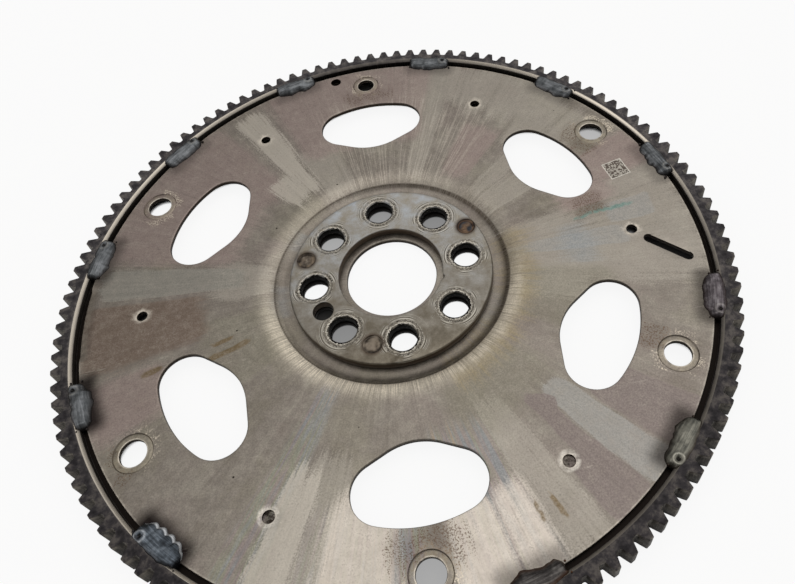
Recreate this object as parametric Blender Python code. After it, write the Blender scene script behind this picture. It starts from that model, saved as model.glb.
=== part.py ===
# Flexplate of an automatic transmission: a stamped sheet disc with a dished hub and six windows,
# a stub-toothed starter ring gear tack-welded around it, and a thick reinforcement plate that is
# plug-welded into the dish, where the crankshaft bolts clamp. It lies flat on the ring gear.
# The origin is on the rotation axis at the resting plane, +Z points to the converter side,
# +Y runs through the tight-fitting converter hole. Metres throughout.
import math

import bmesh
import bpy
from mathutils import Matrix, Vector

# Clearance kept between separate pieces that touch on the real part
SEAM = 0.0003

# Starter ring gear: stub involute teeth
PITCH_DIAMETER = 0.3355
TEETH = 122
ADDENDUM_SHARE = 0.8
DEDENDUM_SHARE = 1.0
PRESSURE_ANGLE = math.radians(20.0)
BACKLASH = 0.0002
TOOTH_TIP_ROUND = 0.0004
TOOTH_ROOT_FILLET = 0.0006
TOOTH_PHASE = math.radians(1.06)
RING_WIDTH = 0.0108
RING_WALL = 0.0050
RING_CHAMFER_WIDTH = 0.0014
RING_CHAMFER_HEIGHT = 0.0015
RING_STEP = 0.00255
LEDGE_REACH = 0.0039

# Sheet disc
SHEET = 0.0026
WELD_GROOVE = 0.0026
RIM_BREAK = 0.0004
DISH_DEPTH = 0.0040
DISH_FLOOR_MARGIN = 0.0032
DISH_FILLET = 0.0078
DISH_CREASE_SHARE = 0.55
DISH_SHOULDER_REACH = 0.0095
SHEET_LIP = 0.0036

# Converter holes: five free holes and one that locates
CONVERTER_HOLES = 6
CONVERTER_INSET = 0.0141
CONVERTER_DIAMETER = 0.0125
LOCATING_DIAMETER = 0.0099
COIN_WIDTH = 0.0028
COIN_DEPTH = 0.00025

# Windows, centred on the converter holes: nose inward, shallow arc outward
WINDOW_OUTER_GAP = 0.0182
WINDOW_DEPTH = 0.0357
WINDOW_NOSE_RADIUS = 0.0290
WINDOW_FLANK_ANGLE = math.radians(25.0)
WINDOW_CORNER_RADIUS = 0.0135
WINDOW_ARC_RADIUS = 0.0600

# Small tooling holes between the windows; two are half-pierced buttons
TOOLING_GAP = 0.0162
TOOLING_DIAMETER = 0.0053
TOOLING_ODD_INDEX = 1
TOOLING_ODD_SHIFT = 0.0018
BUTTON_DIAMETER = 0.0057
BUTTON_DEPTH = 0.0014
BUTTON_RISE = 0.0012
BUTTON_PLACES = (2, 3)

# Index hole and timing slot near the rim
INDEX_INSET = 0.0055
INDEX_DIAMETER = 0.0062
INDEX_ANGLE = math.radians(7.0)
SLOT_WIDTH = 0.0048
SLOT_OUTER_INSET = 0.0087
SLOT_OUTER_ANGLE = math.radians(-98.4)
SLOT_LENGTH = 0.0211
SLOT_TURN = math.radians(-133.2)

# Balance cut milled into the rim
BALANCE_CUT_ANGLE = math.radians(89.6)
BALANCE_CUT_SPAN = math.radians(14.6)
BALANCE_CUT_REACH = 0.0040
BALANCE_CUT_DEPTH = 0.0011
BALANCE_CUT_CORNER = 0.0032
BALANCE_CUT_INNER_SHARE = 0.35

# Reinforcement plate and crankshaft bolt pattern
CRANK_BOLTS = 8
CRANK_CIRCLE_RADIUS = 0.03915
CRANK_PHASE = math.radians(2.58)
CRANK_HOLE_DIAMETER = 0.0138
SHEET_HOLE_STEP = 0.00035
BOLT_SEAT_WIDTH = 0.0025
BOLT_SEAT_DEPTH = 0.0007
DOWEL_DIAMETER = 0.0102
PLATE_THICKNESS = 0.0046
PLATE_INNER_WEB = 0.00565
PLATE_OUTER_WEB = 0.00595
PLATE_EDGE_BREAK = 0.0009
PLATE_EDGE_MID_SHARE = 0.3
PLATE_NICK_RADIUS = 0.0022
PLATE_NICK_ANGLE = math.radians(-109.0)
PLUG_DIAMETER = 0.0094
PLUG_RECESS = 0.0006
PLUG_FACETS = 12
# The plug's hollow top, as (share of its radius, share of the recess below its edge)
PLUG_HOLLOW = ((1.0, 0.0), (0.72, 0.5), (0.40, 0.1))
# Each plug weld's angle, and the width of plate left outside it
PLUG_PLACES = (
    (math.radians(69.5), 0.0019),
    (math.radians(-65.1), 0.0007),
    (math.radians(161.8), 0.0056),
)

# Weld beads that tie the disc's rim to the ring gear
WELDS = 12
WELD_FIRST_ANGLE = math.radians(15.0)
WELD_LENGTH = 0.0252
WELD_TOE_IN = 0.0046
WELD_TOE_OUT = 0.0018
WELD_ROOT = 0.0016
WELD_CROWN = 0.0010
WELD_STATIONS = 8
WELD_SEAM_SHARE = 0.7
WELD_END_FULLNESS = 0.30
WELD_END_CROWN_SHARE = 0.15
WELD_RIPPLE_SHARE = 0.12
WELD_CRATER_SHARE = 0.55
# Crown of the bead, as (share of its width, share of the step up to the ring, share of the crown)
WELD_SECTION = ((0.82, 1.0, 0.75), (0.55, 1.0, 0.35), (0.16, 0.35, 0.30))
WELD_DRIFT_DEGREES = (0.9, -0.2, -0.2, 0.4, -2.0, 0.1, -0.5, 0.2, 1.2, 1.1, 0.4, 0.6)
WELD_EXTRA_REACH_INDEX = 8
WELD_EXTRA_REACH = 0.0014

# Facets around the turned pieces; the turning starts between the features, not on one
DISC_SEGMENTS = 72
DISH_STEPS = 3
PLATE_SEGMENTS = 56
HOLE_SEGMENTS = 18
TURNING_START = math.radians(1.3)

# Radii and heights that follow from the sizes above
MODULE = PITCH_DIAMETER / TEETH
PITCH_RADIUS = PITCH_DIAMETER / 2
TIP_RADIUS = PITCH_RADIUS + ADDENDUM_SHARE * MODULE
ROOT_RADIUS = PITCH_RADIUS - DEDENDUM_SHARE * MODULE
BORE_RADIUS = ROOT_RADIUS - RING_WALL
RIM_RADIUS = BORE_RADIUS - WELD_GROOVE
DISC_TOP = RING_WIDTH - RING_STEP
DISC_BOTTOM = DISC_TOP - SHEET
FLOOR_TOP = DISC_TOP - DISH_DEPTH
CONVERTER_RADIUS = RIM_RADIUS - CONVERTER_INSET
TOOLING_RADIUS = CONVERTER_RADIUS - TOOLING_GAP
PLATE_BORE_RADIUS = CRANK_CIRCLE_RADIUS - CRANK_HOLE_DIAMETER / 2 - PLATE_INNER_WEB
PLATE_RADIUS = CRANK_CIRCLE_RADIUS + CRANK_HOLE_DIAMETER / 2 + PLATE_OUTER_WEB
SHEET_BORE_RADIUS = PLATE_BORE_RADIUS - SHEET_LIP
SHEET_BOLT_HOLE_DIAMETER = CRANK_HOLE_DIAMETER - 2 * SHEET_HOLE_STEP
BOLT_SEAT_DIAMETER = CRANK_HOLE_DIAMETER + 2 * BOLT_SEAT_WIDTH
PLATE_BOTTOM = FLOOR_TOP + SEAM
PLATE_TOP = PLATE_BOTTOM + PLATE_THICKNESS
DISH_FLOOR_RADIUS = PLATE_RADIUS + DISH_FLOOR_MARGIN
DISH_SLOPE = math.acos(1 - DISH_DEPTH * (1 - DISH_CREASE_SHARE) / DISH_FILLET)
DISH_CREASE_RADIUS = DISH_FLOOR_RADIUS + DISH_FILLET * math.sin(DISH_SLOPE)
DISH_CREASE_DROP = DISH_DEPTH * DISH_CREASE_SHARE
DISH_SHOULDER = (DISH_SHOULDER_REACH ** 2 + DISH_CREASE_DROP ** 2) / (2 * DISH_CREASE_DROP)
DISH_SHOULDER_SLOPE = math.asin(DISH_SHOULDER_REACH / DISH_SHOULDER)
FLAT_START_RADIUS = DISH_CREASE_RADIUS + DISH_SHOULDER_REACH
CUT_OVERSHOOT = 0.0020


def clear_scene():
    for item in list(bpy.data.objects):
        bpy.data.objects.remove(item, do_unlink=True)


def polar(radius, angle, z=0.0):
    # Angles count from +Y, counter-clockwise as seen from above
    return Vector((-radius * math.sin(angle), radius * math.cos(angle), z))


def make_material(name, colour, roughness, metallic):
    material = bpy.data.materials.new(name)
    material.use_nodes = True
    shader = material.node_tree.nodes["Principled BSDF"]
    shader.inputs["Base Color"].default_value = (*colour, 1.0)
    shader.inputs["Roughness"].default_value = roughness
    shader.inputs["Metallic"].default_value = metallic
    material.diffuse_color = (*colour, 1.0)
    return material


def add_object(name, mesh_builder, parent=None, material=None, smooth_degrees=32.0):
    mesh = bpy.data.meshes.new(name)
    bmesh.ops.recalc_face_normals(mesh_builder, faces=mesh_builder.faces[:])
    mesh_builder.to_mesh(mesh)
    mesh_builder.free()
    mesh.shade_smooth()
    mesh.set_sharp_from_angle(angle=math.radians(smooth_degrees))
    item = bpy.data.objects.new(name, mesh)
    bpy.context.scene.collection.objects.link(item)
    if material is not None:
        mesh.materials.append(material)
    if parent is not None:
        item.parent = parent
    return item


def as_cutter(item):
    item.hide_render = True
    item.display_type = 'WIRE'
    return item


def boolean(target, tool, operation, name):
    modifier = target.modifiers.new(name, 'BOOLEAN')
    modifier.operation = operation
    modifier.solver = 'EXACT'
    modifier.object = tool
    return modifier


def spin_profile(bm, profile, segments):
    # Turn a closed (radius, height) outline around the Z axis
    verts = [bm.verts.new(polar(r, TURNING_START, z)) for r, z in profile]
    edges = []
    for index, vert in enumerate(verts):
        edges.append(bm.edges.new((vert, verts[(index + 1) % len(verts)])))
    bmesh.ops.spin(
        bm,
        geom=verts + edges,
        cent=(0.0, 0.0, 0.0),
        axis=(0.0, 0.0, 1.0),
        dvec=(0.0, 0.0, 0.0),
        angle=2 * math.pi,
        steps=segments,
        use_merge=True,
        use_duplicate=False,
    )


def add_prism(bm, outline, low, high):
    # Extrude a flat outline of (x, y) points from one height to another
    verts = [bm.verts.new((x, y, low)) for x, y in outline]
    face = bm.faces.new(verts)
    grown = bmesh.ops.extrude_face_region(bm, geom=[face])
    raised = [part for part in grown["geom"] if isinstance(part, bmesh.types.BMVert)]
    bmesh.ops.translate(bm, vec=(0.0, 0.0, high - low), verts=raised)


def add_cylinder(bm, centre, radius, low, high, segments=HOLE_SEGMENTS, top_radius=None):
    upper = radius if top_radius is None else top_radius
    place = Matrix.Translation((centre.x, centre.y, (low + high) / 2))
    bmesh.ops.create_cone(
        bm,
        cap_ends=True,
        segments=segments,
        radius1=radius,
        radius2=upper,
        depth=high - low,
        matrix=place,
    )


def arc(centre, radius, start, end, steps):
    points = []
    for index in range(steps + 1):
        angle = start + (end - start) * index / steps
        points.append((centre[0] + radius * math.cos(angle), centre[1] + radius * math.sin(angle)))
    return points


# Ring gear

def involute(angle):
    return math.tan(angle) - angle


def tooth_half_angle(radius):
    # Half of the tooth's thickness at a radius, as an angle at the axis
    base = PITCH_RADIUS * math.cos(PRESSURE_ANGLE)
    half_pitch_thickness = (math.pi * MODULE / 2 - BACKLASH) / 2
    at_pitch = half_pitch_thickness / PITCH_RADIUS
    local_pressure = math.acos(min(1.0, base / radius))
    return at_pitch + involute(PRESSURE_ANGLE) - involute(local_pressure)


def tooth_flank():
    # Points from the root land up to the tip land, as (half angle, radius)
    foot = ROOT_RADIUS + TOOTH_ROOT_FILLET
    shoulder = TIP_RADIUS - TOOTH_TIP_ROUND
    foot_angle = tooth_half_angle(foot)
    return [
        (foot_angle + TOOTH_ROOT_FILLET / ROOT_RADIUS, ROOT_RADIUS),
        (foot_angle, foot),
        (tooth_half_angle(shoulder), shoulder),
        (tooth_half_angle(TIP_RADIUS) - TOOTH_TIP_ROUND / TIP_RADIUS, TIP_RADIUS),
    ]


def tooth_points(centre_angle):
    flank = tooth_flank()
    rising = [(centre_angle - half, radius) for half, radius in flank]
    falling = [(centre_angle + half, radius) for half, radius in reversed(flank)]
    return rising + falling


def ring_inner_profile():
    # From the top face inward and down: chamfer, bore wall, ledge, ledge wall
    ledge_top = DISC_BOTTOM - SEAM
    ledge_inner = RIM_RADIUS - LEDGE_REACH
    return [
        (BORE_RADIUS + RING_CHAMFER_WIDTH, RING_WIDTH),
        (BORE_RADIUS, RING_WIDTH - RING_CHAMFER_HEIGHT),
        (BORE_RADIUS, ledge_top),
        (ledge_inner, ledge_top),
        (ledge_inner, 0.0),
    ]


def build_ring_gear(parent):
    bm = bmesh.new()
    pitch_angle = 2 * math.pi / TEETH
    outer_low = []
    outer_high = []
    inner_loops = []
    for tooth in range(TEETH):
        points = tooth_points(TOOTH_PHASE + tooth * pitch_angle)
        outer_low.append([bm.verts.new(polar(r, a, 0.0)) for a, r in points])
        outer_high.append([bm.verts.new(polar(r, a, RING_WIDTH)) for a, r in points])
        start = points[0][0]
        inner_loops.append([bm.verts.new(polar(r, start, z)) for r, z in ring_inner_profile()])
    for tooth in range(TEETH):
        after = (tooth + 1) % TEETH
        low = outer_low[tooth] + outer_low[after][:1]
        high = outer_high[tooth] + outer_high[after][:1]
        for index in range(len(low) - 1):
            bm.faces.new((low[index], low[index + 1], high[index + 1], high[index]))
        bm.faces.new(high + [inner_loops[after][0], inner_loops[tooth][0]])
        bm.faces.new(low + [inner_loops[after][-1], inner_loops[tooth][-1]])
        for index in range(len(inner_loops[tooth]) - 1):
            bm.faces.new((
                inner_loops[tooth][index],
                inner_loops[after][index],
                inner_loops[after][index + 1],
                inner_loops[tooth][index + 1],
            ))
    steel = make_material("hardened_gear_steel", (0.075, 0.073, 0.075), 0.48, 0.85)
    return add_object("ring_gear", bm, parent, steel)


# Sheet disc

def dish_profile(offset, steps):
    # Cross-section of the sheet from the floor over the crease to the flat; offset runs down
    # from the top skin
    lower = DISH_FILLET + offset
    upper = DISH_SHOULDER - offset
    lean = (DISH_SLOPE + DISH_SHOULDER_SLOPE) / 2
    miter = offset / math.cos((DISH_SLOPE - DISH_SHOULDER_SLOPE) / 2)
    crease = DISH_CREASE_RADIUS + miter * math.sin(lean)
    rise = math.asin((crease - DISH_FLOOR_RADIUS) / lower)
    fall = math.asin((FLAT_START_RADIUS - crease) / upper)
    floor_centre = (DISH_FLOOR_RADIUS, FLOOR_TOP + DISH_FILLET)
    shoulder_centre = (FLAT_START_RADIUS, DISC_TOP - DISH_SHOULDER)
    inner = arc(floor_centre, lower, -math.pi / 2, -math.pi / 2 + rise, steps)
    outer = arc(shoulder_centre, upper, math.pi / 2 + fall, math.pi / 2, steps)
    return inner + outer[1:]


def disc_profile():
    top = [(SHEET_BORE_RADIUS, FLOOR_TOP)]
    top += dish_profile(0.0, DISH_STEPS)
    top += [(RIM_RADIUS - RIM_BREAK, DISC_TOP), (RIM_RADIUS, DISC_TOP - RIM_BREAK)]
    bottom = [(SHEET_BORE_RADIUS, FLOOR_TOP - SHEET)]
    bottom += dish_profile(SHEET, DISH_STEPS - 1)
    bottom += [(RIM_RADIUS, DISC_BOTTOM)]
    return top + bottom[::-1]


def window_outline():
    # Half outline in a radial (x) and tangential (y) frame, mirrored about the radius
    outer = CONVERTER_RADIUS - WINDOW_OUTER_GAP
    nose = outer - WINDOW_DEPTH
    normal = Vector((-math.cos(WINDOW_FLANK_ANGLE), math.sin(WINDOW_FLANK_ANGLE)))
    along = Vector((math.sin(WINDOW_FLANK_ANGLE), math.cos(WINDOW_FLANK_ANGLE)))
    nose_centre = Vector((nose + WINDOW_NOSE_RADIUS, 0.0))
    arc_centre = Vector((outer - WINDOW_ARC_RADIUS, 0.0))
    start = nose_centre + (WINDOW_NOSE_RADIUS - WINDOW_CORNER_RADIUS) * normal
    reach = WINDOW_ARC_RADIUS - WINDOW_CORNER_RADIUS
    away = start - arc_centre
    middle = away.dot(along)
    length = -middle + math.sqrt(middle * middle - away.length_squared + reach * reach)
    corner = start + length * along
    lean = math.atan2(corner.y - arc_centre.y, corner.x - arc_centre.x)
    flank = math.pi - WINDOW_FLANK_ANGLE
    half = arc(arc_centre, WINDOW_ARC_RADIUS, 0.0, lean, 3)
    half += arc(corner, WINDOW_CORNER_RADIUS, lean, flank, 6)[1:]
    half += arc(nose_centre, WINDOW_NOSE_RADIUS, flank, math.pi, 3)
    mirrored = [(x, -y) for x, y in half[-2:0:-1]]
    return half + mirrored


def turned(outline, angle):
    # Place a radial/tangential outline at an angle around the axis
    radial = polar(1.0, angle)
    tangent = polar(1.0, angle + math.pi / 2)
    placed = []
    for x, y in outline:
        spot = radial * x + tangent * y
        placed.append((spot.x, spot.y))
    return placed


def slot_outline():
    end = polar(RIM_RADIUS - SLOT_OUTER_INSET, SLOT_OUTER_ANGLE)
    heading = polar(1.0, SLOT_TURN)
    begin = end - heading * SLOT_LENGTH
    turn = math.atan2(heading.y, heading.x)
    radius = SLOT_WIDTH / 2
    points = arc(end, radius, turn - math.pi / 2, turn + math.pi / 2, 6)
    points += arc(begin, radius, turn + math.pi / 2, turn + 3 * math.pi / 2, 6)
    return points


def converter_hole_radius(index):
    return (LOCATING_DIAMETER if index == 0 else CONVERTER_DIAMETER) / 2


def tooling_spot(index):
    # Half-way between two converter holes; one of them sits a little further in
    shift = TOOLING_ODD_SHIFT if index == TOOLING_ODD_INDEX else 0.0
    angle = -(index + 0.5) * 2 * math.pi / CONVERTER_HOLES
    return polar(TOOLING_RADIUS - shift, angle)


def build_disc_cutter(parent):
    bm = bmesh.new()
    low = DISC_BOTTOM - CUT_OVERSHOOT
    high = DISC_TOP + CUT_OVERSHOOT
    for index in range(CONVERTER_HOLES):
        angle = -index * 2 * math.pi / CONVERTER_HOLES
        add_prism(bm, turned(window_outline(), angle), low, high)
        hole = polar(CONVERTER_RADIUS, angle)
        add_cylinder(bm, hole, converter_hole_radius(index), low, high)
        if index not in BUTTON_PLACES:
            add_cylinder(bm, tooling_spot(index), TOOLING_DIAMETER / 2, low, high, 10)
    add_cylinder(bm, polar(RIM_RADIUS - INDEX_INSET, INDEX_ANGLE), INDEX_DIAMETER / 2, low, high, 14)
    add_prism(bm, slot_outline(), low, high)
    floor_low = FLOOR_TOP - SHEET - CUT_OVERSHOOT
    floor_high = FLOOR_TOP + CUT_OVERSHOOT
    for angle in crank_angles():
        spot = polar(CRANK_CIRCLE_RADIUS, angle)
        add_cylinder(bm, spot, SHEET_BOLT_HOLE_DIAMETER / 2, floor_low, floor_high, 14)
    add_cylinder(bm, dowel_spot(), DOWEL_DIAMETER / 2, floor_low, floor_high, 14)
    return as_cutter(add_object("disc_openings_cutter", bm, parent))


def build_coin_cutter(parent):
    # Shallow pressed seats around the converter holes, and the half-pierced buttons
    bm = bmesh.new()
    for index in range(CONVERTER_HOLES):
        angle = -index * 2 * math.pi / CONVERTER_HOLES
        seat = converter_hole_radius(index) + COIN_WIDTH
        low = DISC_TOP - COIN_DEPTH
        add_cylinder(bm, polar(CONVERTER_RADIUS, angle), seat, low, DISC_TOP + CUT_OVERSHOOT)
        if index in BUTTON_PLACES:
            low = DISC_TOP - BUTTON_DEPTH
            high = DISC_TOP + CUT_OVERSHOOT
            add_cylinder(bm, tooling_spot(index), BUTTON_DIAMETER / 2, low, high, 14)
    return as_cutter(add_object("coined_seats_cutter", bm, parent))


def build_button_bosses(parent):
    bm = bmesh.new()
    for index in BUTTON_PLACES:
        low = DISC_BOTTOM - BUTTON_RISE
        high = DISC_BOTTOM + SHEET / 3
        add_cylinder(bm, tooling_spot(index), BUTTON_DIAMETER / 2, low, high, 14)
    return as_cutter(add_object("half_pierced_boss_form", bm, parent))


def build_balance_cutter(parent):
    # A milled flat that falls from the top skin to the rim, with round ends
    inner = RIM_RADIUS - BALANCE_CUT_REACH
    outer = RIM_RADIUS + CUT_OVERSHOOT / 2
    half = BALANCE_CUT_SPAN / 2
    corner = BALANCE_CUT_CORNER / inner
    plan = [(outer, -half)]
    for index in range(4):
        turn = index / 3 * math.pi / 2
        radius = inner + BALANCE_CUT_CORNER * (1 - math.sin(turn))
        plan.append((radius, -half + corner * (1 - math.cos(turn))))
    for step in range(1, 6):
        plan.append((inner, -half + corner + (BALANCE_CUT_SPAN - 2 * corner) * step / 6))
    mirrored = [(radius, -angle) for radius, angle in plan[:5]]
    plan = plan + mirrored[::-1]
    bm = bmesh.new()
    top = []
    bottom = []
    for radius, angle in plan:
        outward = (radius - inner) / BALANCE_CUT_REACH
        share = BALANCE_CUT_INNER_SHARE + (1 - BALANCE_CUT_INNER_SHARE) * outward
        fall = BALANCE_CUT_DEPTH * share
        place = BALANCE_CUT_ANGLE + angle
        top.append(bm.verts.new(polar(radius, place, DISC_TOP + CUT_OVERSHOOT / 2)))
        bottom.append(bm.verts.new(polar(radius, place, DISC_TOP - fall)))
    count = len(plan)
    for index in range(count):
        after = (index + 1) % count
        bm.faces.new((bottom[index], bottom[after], top[after], top[index]))
    bm.faces.new(top)
    floor = bm.faces.new(bottom[::-1])
    bmesh.ops.triangulate(bm, faces=[floor])
    return as_cutter(add_object("balance_cut_cutter", bm, parent))


def build_disc(parent):
    bm = bmesh.new()
    spin_profile(bm, disc_profile(), DISC_SEGMENTS)
    steel = make_material("stamped_sheet_steel", (0.33, 0.30, 0.28), 0.46, 0.9)
    disc = add_object("flexplate_disc", bm, parent, steel)
    boolean(disc, build_button_bosses(parent), 'UNION', "half_pierced_bosses")
    boolean(disc, build_disc_cutter(parent), 'DIFFERENCE', "openings")
    boolean(disc, build_coin_cutter(parent), 'DIFFERENCE', "coined_seats")
    boolean(disc, build_balance_cutter(parent), 'DIFFERENCE', "balance_cut")
    return disc


# Reinforcement plate

def crank_angles():
    return [CRANK_PHASE - index * 2 * math.pi / CRANK_BOLTS for index in range(CRANK_BOLTS)]


def dowel_spot():
    # The dowel hole sits half-way between two crank bolts, on their circle
    step = 2 * math.pi / CRANK_BOLTS
    return polar(CRANK_CIRCLE_RADIUS, CRANK_PHASE + 2.5 * step)


def plug_spot(place):
    angle, edge_gap = place
    return polar(PLATE_RADIUS - edge_gap - PLUG_DIAMETER / 2, angle)


def build_plate_cutter(parent):
    bm = bmesh.new()
    low = PLATE_BOTTOM - CUT_OVERSHOOT
    high = PLATE_TOP + CUT_OVERSHOOT
    for angle in crank_angles():
        spot = polar(CRANK_CIRCLE_RADIUS, angle)
        add_cylinder(bm, spot, CRANK_HOLE_DIAMETER / 2, low, high, HOLE_SEGMENTS)
    add_cylinder(bm, dowel_spot(), DOWEL_DIAMETER / 2, low, high, 14)
    for place in PLUG_PLACES:
        add_cylinder(bm, plug_spot(place), PLUG_DIAMETER / 2, low, high, 14)
    nick = polar(PLATE_BORE_RADIUS, PLATE_NICK_ANGLE)
    add_cylinder(bm, nick, PLATE_NICK_RADIUS, low, high, 10)
    return as_cutter(add_object("plate_holes_cutter", bm, parent))


def build_seat_cutter(parent):
    # Shallow cones where the bolt heads bear
    bm = bmesh.new()
    slope = (BOLT_SEAT_DIAMETER - CRANK_HOLE_DIAMETER) / 2 / BOLT_SEAT_DEPTH
    above = BOLT_SEAT_DEPTH / 4
    low_radius = CRANK_HOLE_DIAMETER / 2 - slope * above
    high_radius = BOLT_SEAT_DIAMETER / 2 + slope * above
    low = PLATE_TOP - BOLT_SEAT_DEPTH - above
    for angle in crank_angles():
        spot = polar(CRANK_CIRCLE_RADIUS, angle)
        add_cylinder(bm, spot, low_radius, low, PLATE_TOP + above, HOLE_SEGMENTS, high_radius)
    return as_cutter(add_object("bolt_seats_cutter", bm, parent))


def build_plate(parent):
    edge = PLATE_EDGE_BREAK
    middle = edge * PLATE_EDGE_MID_SHARE
    profile = [
        (PLATE_BORE_RADIUS, PLATE_BOTTOM),
        (PLATE_RADIUS, PLATE_BOTTOM),
        (PLATE_RADIUS, PLATE_TOP - edge),
        (PLATE_RADIUS - middle, PLATE_TOP - middle),
        (PLATE_RADIUS - edge, PLATE_TOP),
        (PLATE_BORE_RADIUS, PLATE_TOP),
    ]
    bm = bmesh.new()
    spin_profile(bm, profile, PLATE_SEGMENTS)
    steel = make_material("hub_plate_steel", (0.30, 0.29, 0.25), 0.42, 0.9)
    plate = add_object("hub_plate", bm, parent, steel)
    boolean(plate, build_plate_cutter(parent), 'DIFFERENCE', "bolt_and_plug_holes")
    boolean(plate, build_seat_cutter(parent), 'DIFFERENCE', "bolt_seats")
    return plate


def build_plug_welds(parent):
    # Weld metal that fills each plug hole, sunk a little below the plate's face
    steel = make_material("plug_weld_metal", (0.10, 0.085, 0.08), 0.6, 0.7)
    radius = PLUG_DIAMETER / 2 - SEAM
    top = PLATE_TOP - PLUG_RECESS
    profile = [(radius, PLATE_BOTTOM)]
    profile += [(radius * across, top - PLUG_RECESS * fall) for across, fall in PLUG_HOLLOW]
    step = 2 * math.pi / PLUG_FACETS
    for number, place in enumerate(PLUG_PLACES, start=1):
        bm = bmesh.new()
        rings = []
        for r, z in profile:
            rings.append([bm.verts.new(polar(r, step * k, z)) for k in range(PLUG_FACETS)])
        bm.faces.new(rings[0])
        bm.faces.new(rings[-1])
        for lower, upper in zip(rings, rings[1:]):
            for k in range(PLUG_FACETS):
                after = (k + 1) % PLUG_FACETS
                bm.faces.new((lower[k], lower[after], upper[after], upper[k]))
        plug = add_object("plug_weld_%d" % number, bm, parent, steel)
        plug.location = plug_spot(place)


# Weld beads

def bead_section(fullness, crown, extra_reach):
    # Outline across the bead: down the groove between rim and bore, then over the crown
    toe_in = RIM_RADIUS - (WELD_TOE_IN + extra_reach) * fullness
    toe_out = BORE_RADIUS + RING_CHAMFER_WIDTH + WELD_TOE_OUT * (fullness - 0.5)
    on_disc = DISC_TOP + SEAM
    on_ring = RING_WIDTH + SEAM
    root = DISC_TOP - WELD_ROOT
    chamfer_top = BORE_RADIUS + RING_CHAMFER_WIDTH - SEAM * WELD_SEAM_SHARE
    outer = max(toe_out, chamfer_top + SEAM)
    reach = outer - toe_in
    step = on_ring - on_disc
    section = [
        (toe_in, on_disc),
        (RIM_RADIUS + SEAM, on_disc),
        (RIM_RADIUS + SEAM, root),
        (BORE_RADIUS - SEAM, root),
        (BORE_RADIUS - SEAM, RING_WIDTH - RING_CHAMFER_HEIGHT),
        (chamfer_top, on_ring),
        (outer, on_ring),
    ]
    for across, climb, swell in WELD_SECTION:
        section.append((toe_in + reach * across, on_disc + step * climb + crown * swell))
    return section


def build_weld_beads(parent):
    steel = make_material("weld_metal", (0.085, 0.09, 0.10), 0.5, 0.75)
    half_angle = WELD_LENGTH / 2 / BORE_RADIUS
    for number in range(WELDS):
        drift = WELD_DRIFT_DEGREES[number % len(WELD_DRIFT_DEGREES)]
        centre = WELD_FIRST_ANGLE - number * 2 * math.pi / WELDS + math.radians(drift)
        extra_reach = WELD_EXTRA_REACH if number == WELD_EXTRA_REACH_INDEX else 0.0
        bm = bmesh.new()
        rings = []
        for station in range(WELD_STATIONS):
            along = 2 * station / (WELD_STATIONS - 1) - 1
            swell = math.sqrt(max(0.0, 1 - along ** 4))
            fullness = WELD_END_FULLNESS + (1 - WELD_END_FULLNESS) * swell
            ripple = WELD_RIPPLE_SHARE * math.sin(2.3 * number + 1.9 * station)
            crater = WELD_CRATER_SHARE if station == WELD_STATIONS - 2 else 1.0
            body = fullness * (1 - WELD_END_CROWN_SHARE + ripple) * crater
            crown = WELD_CROWN * (WELD_END_CROWN_SHARE + body)
            section = bead_section(fullness, crown, extra_reach)
            angle = centre - along * half_angle
            rings.append([bm.verts.new(polar(r, angle, z)) for r, z in section])
        bm.faces.new(rings[0])
        bm.faces.new(rings[-1])
        count = len(rings[0])
        for first, second in zip(rings, rings[1:]):
            for k in range(count):
                after = (k + 1) % count
                bm.faces.new((first[k], first[after], second[after], second[k]))
        add_object("weld_bead_%02d" % (number + 1), bm, parent, steel, 50.0)


def main():
    clear_scene()
    root = bpy.data.objects.new("flexplate_root", None)
    bpy.context.scene.collection.objects.link(root)
    build_ring_gear(root)
    build_disc(root)
    build_plate(root)
    build_plug_welds(root)
    build_weld_beads(root)
    bpy.context.view_layer.update()


main()
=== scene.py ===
# %% [markdown]
# A flexplate ties an engine to an automatic gearbox: a thin dished steel disc with a starter ring
# gear welded around it and a thick plate in the middle for the crankshaft bolts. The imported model
# holds the exact sizes, so it is loaded first and everything below is fitted to it.

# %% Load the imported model
import math

import bmesh
import bpy
import numpy as np
from mathutils import Euler, Matrix, Vector
from mathutils.geometry import delaunay_2d_cdt


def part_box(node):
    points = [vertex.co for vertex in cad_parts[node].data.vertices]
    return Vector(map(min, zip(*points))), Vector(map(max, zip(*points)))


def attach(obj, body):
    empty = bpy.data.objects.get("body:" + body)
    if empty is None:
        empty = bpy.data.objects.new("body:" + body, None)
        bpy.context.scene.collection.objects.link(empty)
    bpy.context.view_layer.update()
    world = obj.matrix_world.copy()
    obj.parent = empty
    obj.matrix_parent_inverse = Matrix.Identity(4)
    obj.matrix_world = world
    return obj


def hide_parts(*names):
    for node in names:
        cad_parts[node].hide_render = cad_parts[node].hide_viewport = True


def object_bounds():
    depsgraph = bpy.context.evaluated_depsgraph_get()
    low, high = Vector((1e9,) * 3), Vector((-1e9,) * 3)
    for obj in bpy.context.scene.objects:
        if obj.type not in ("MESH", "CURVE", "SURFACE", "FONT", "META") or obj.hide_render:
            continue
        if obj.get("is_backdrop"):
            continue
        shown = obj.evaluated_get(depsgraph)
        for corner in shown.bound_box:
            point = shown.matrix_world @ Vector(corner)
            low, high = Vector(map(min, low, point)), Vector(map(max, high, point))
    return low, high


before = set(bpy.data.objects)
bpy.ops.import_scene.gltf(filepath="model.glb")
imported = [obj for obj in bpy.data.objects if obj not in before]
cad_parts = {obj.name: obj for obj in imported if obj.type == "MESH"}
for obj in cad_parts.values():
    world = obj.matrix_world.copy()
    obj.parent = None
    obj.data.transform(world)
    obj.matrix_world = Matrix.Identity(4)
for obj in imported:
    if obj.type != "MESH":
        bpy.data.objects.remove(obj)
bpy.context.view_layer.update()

MM = 0.001

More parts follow.
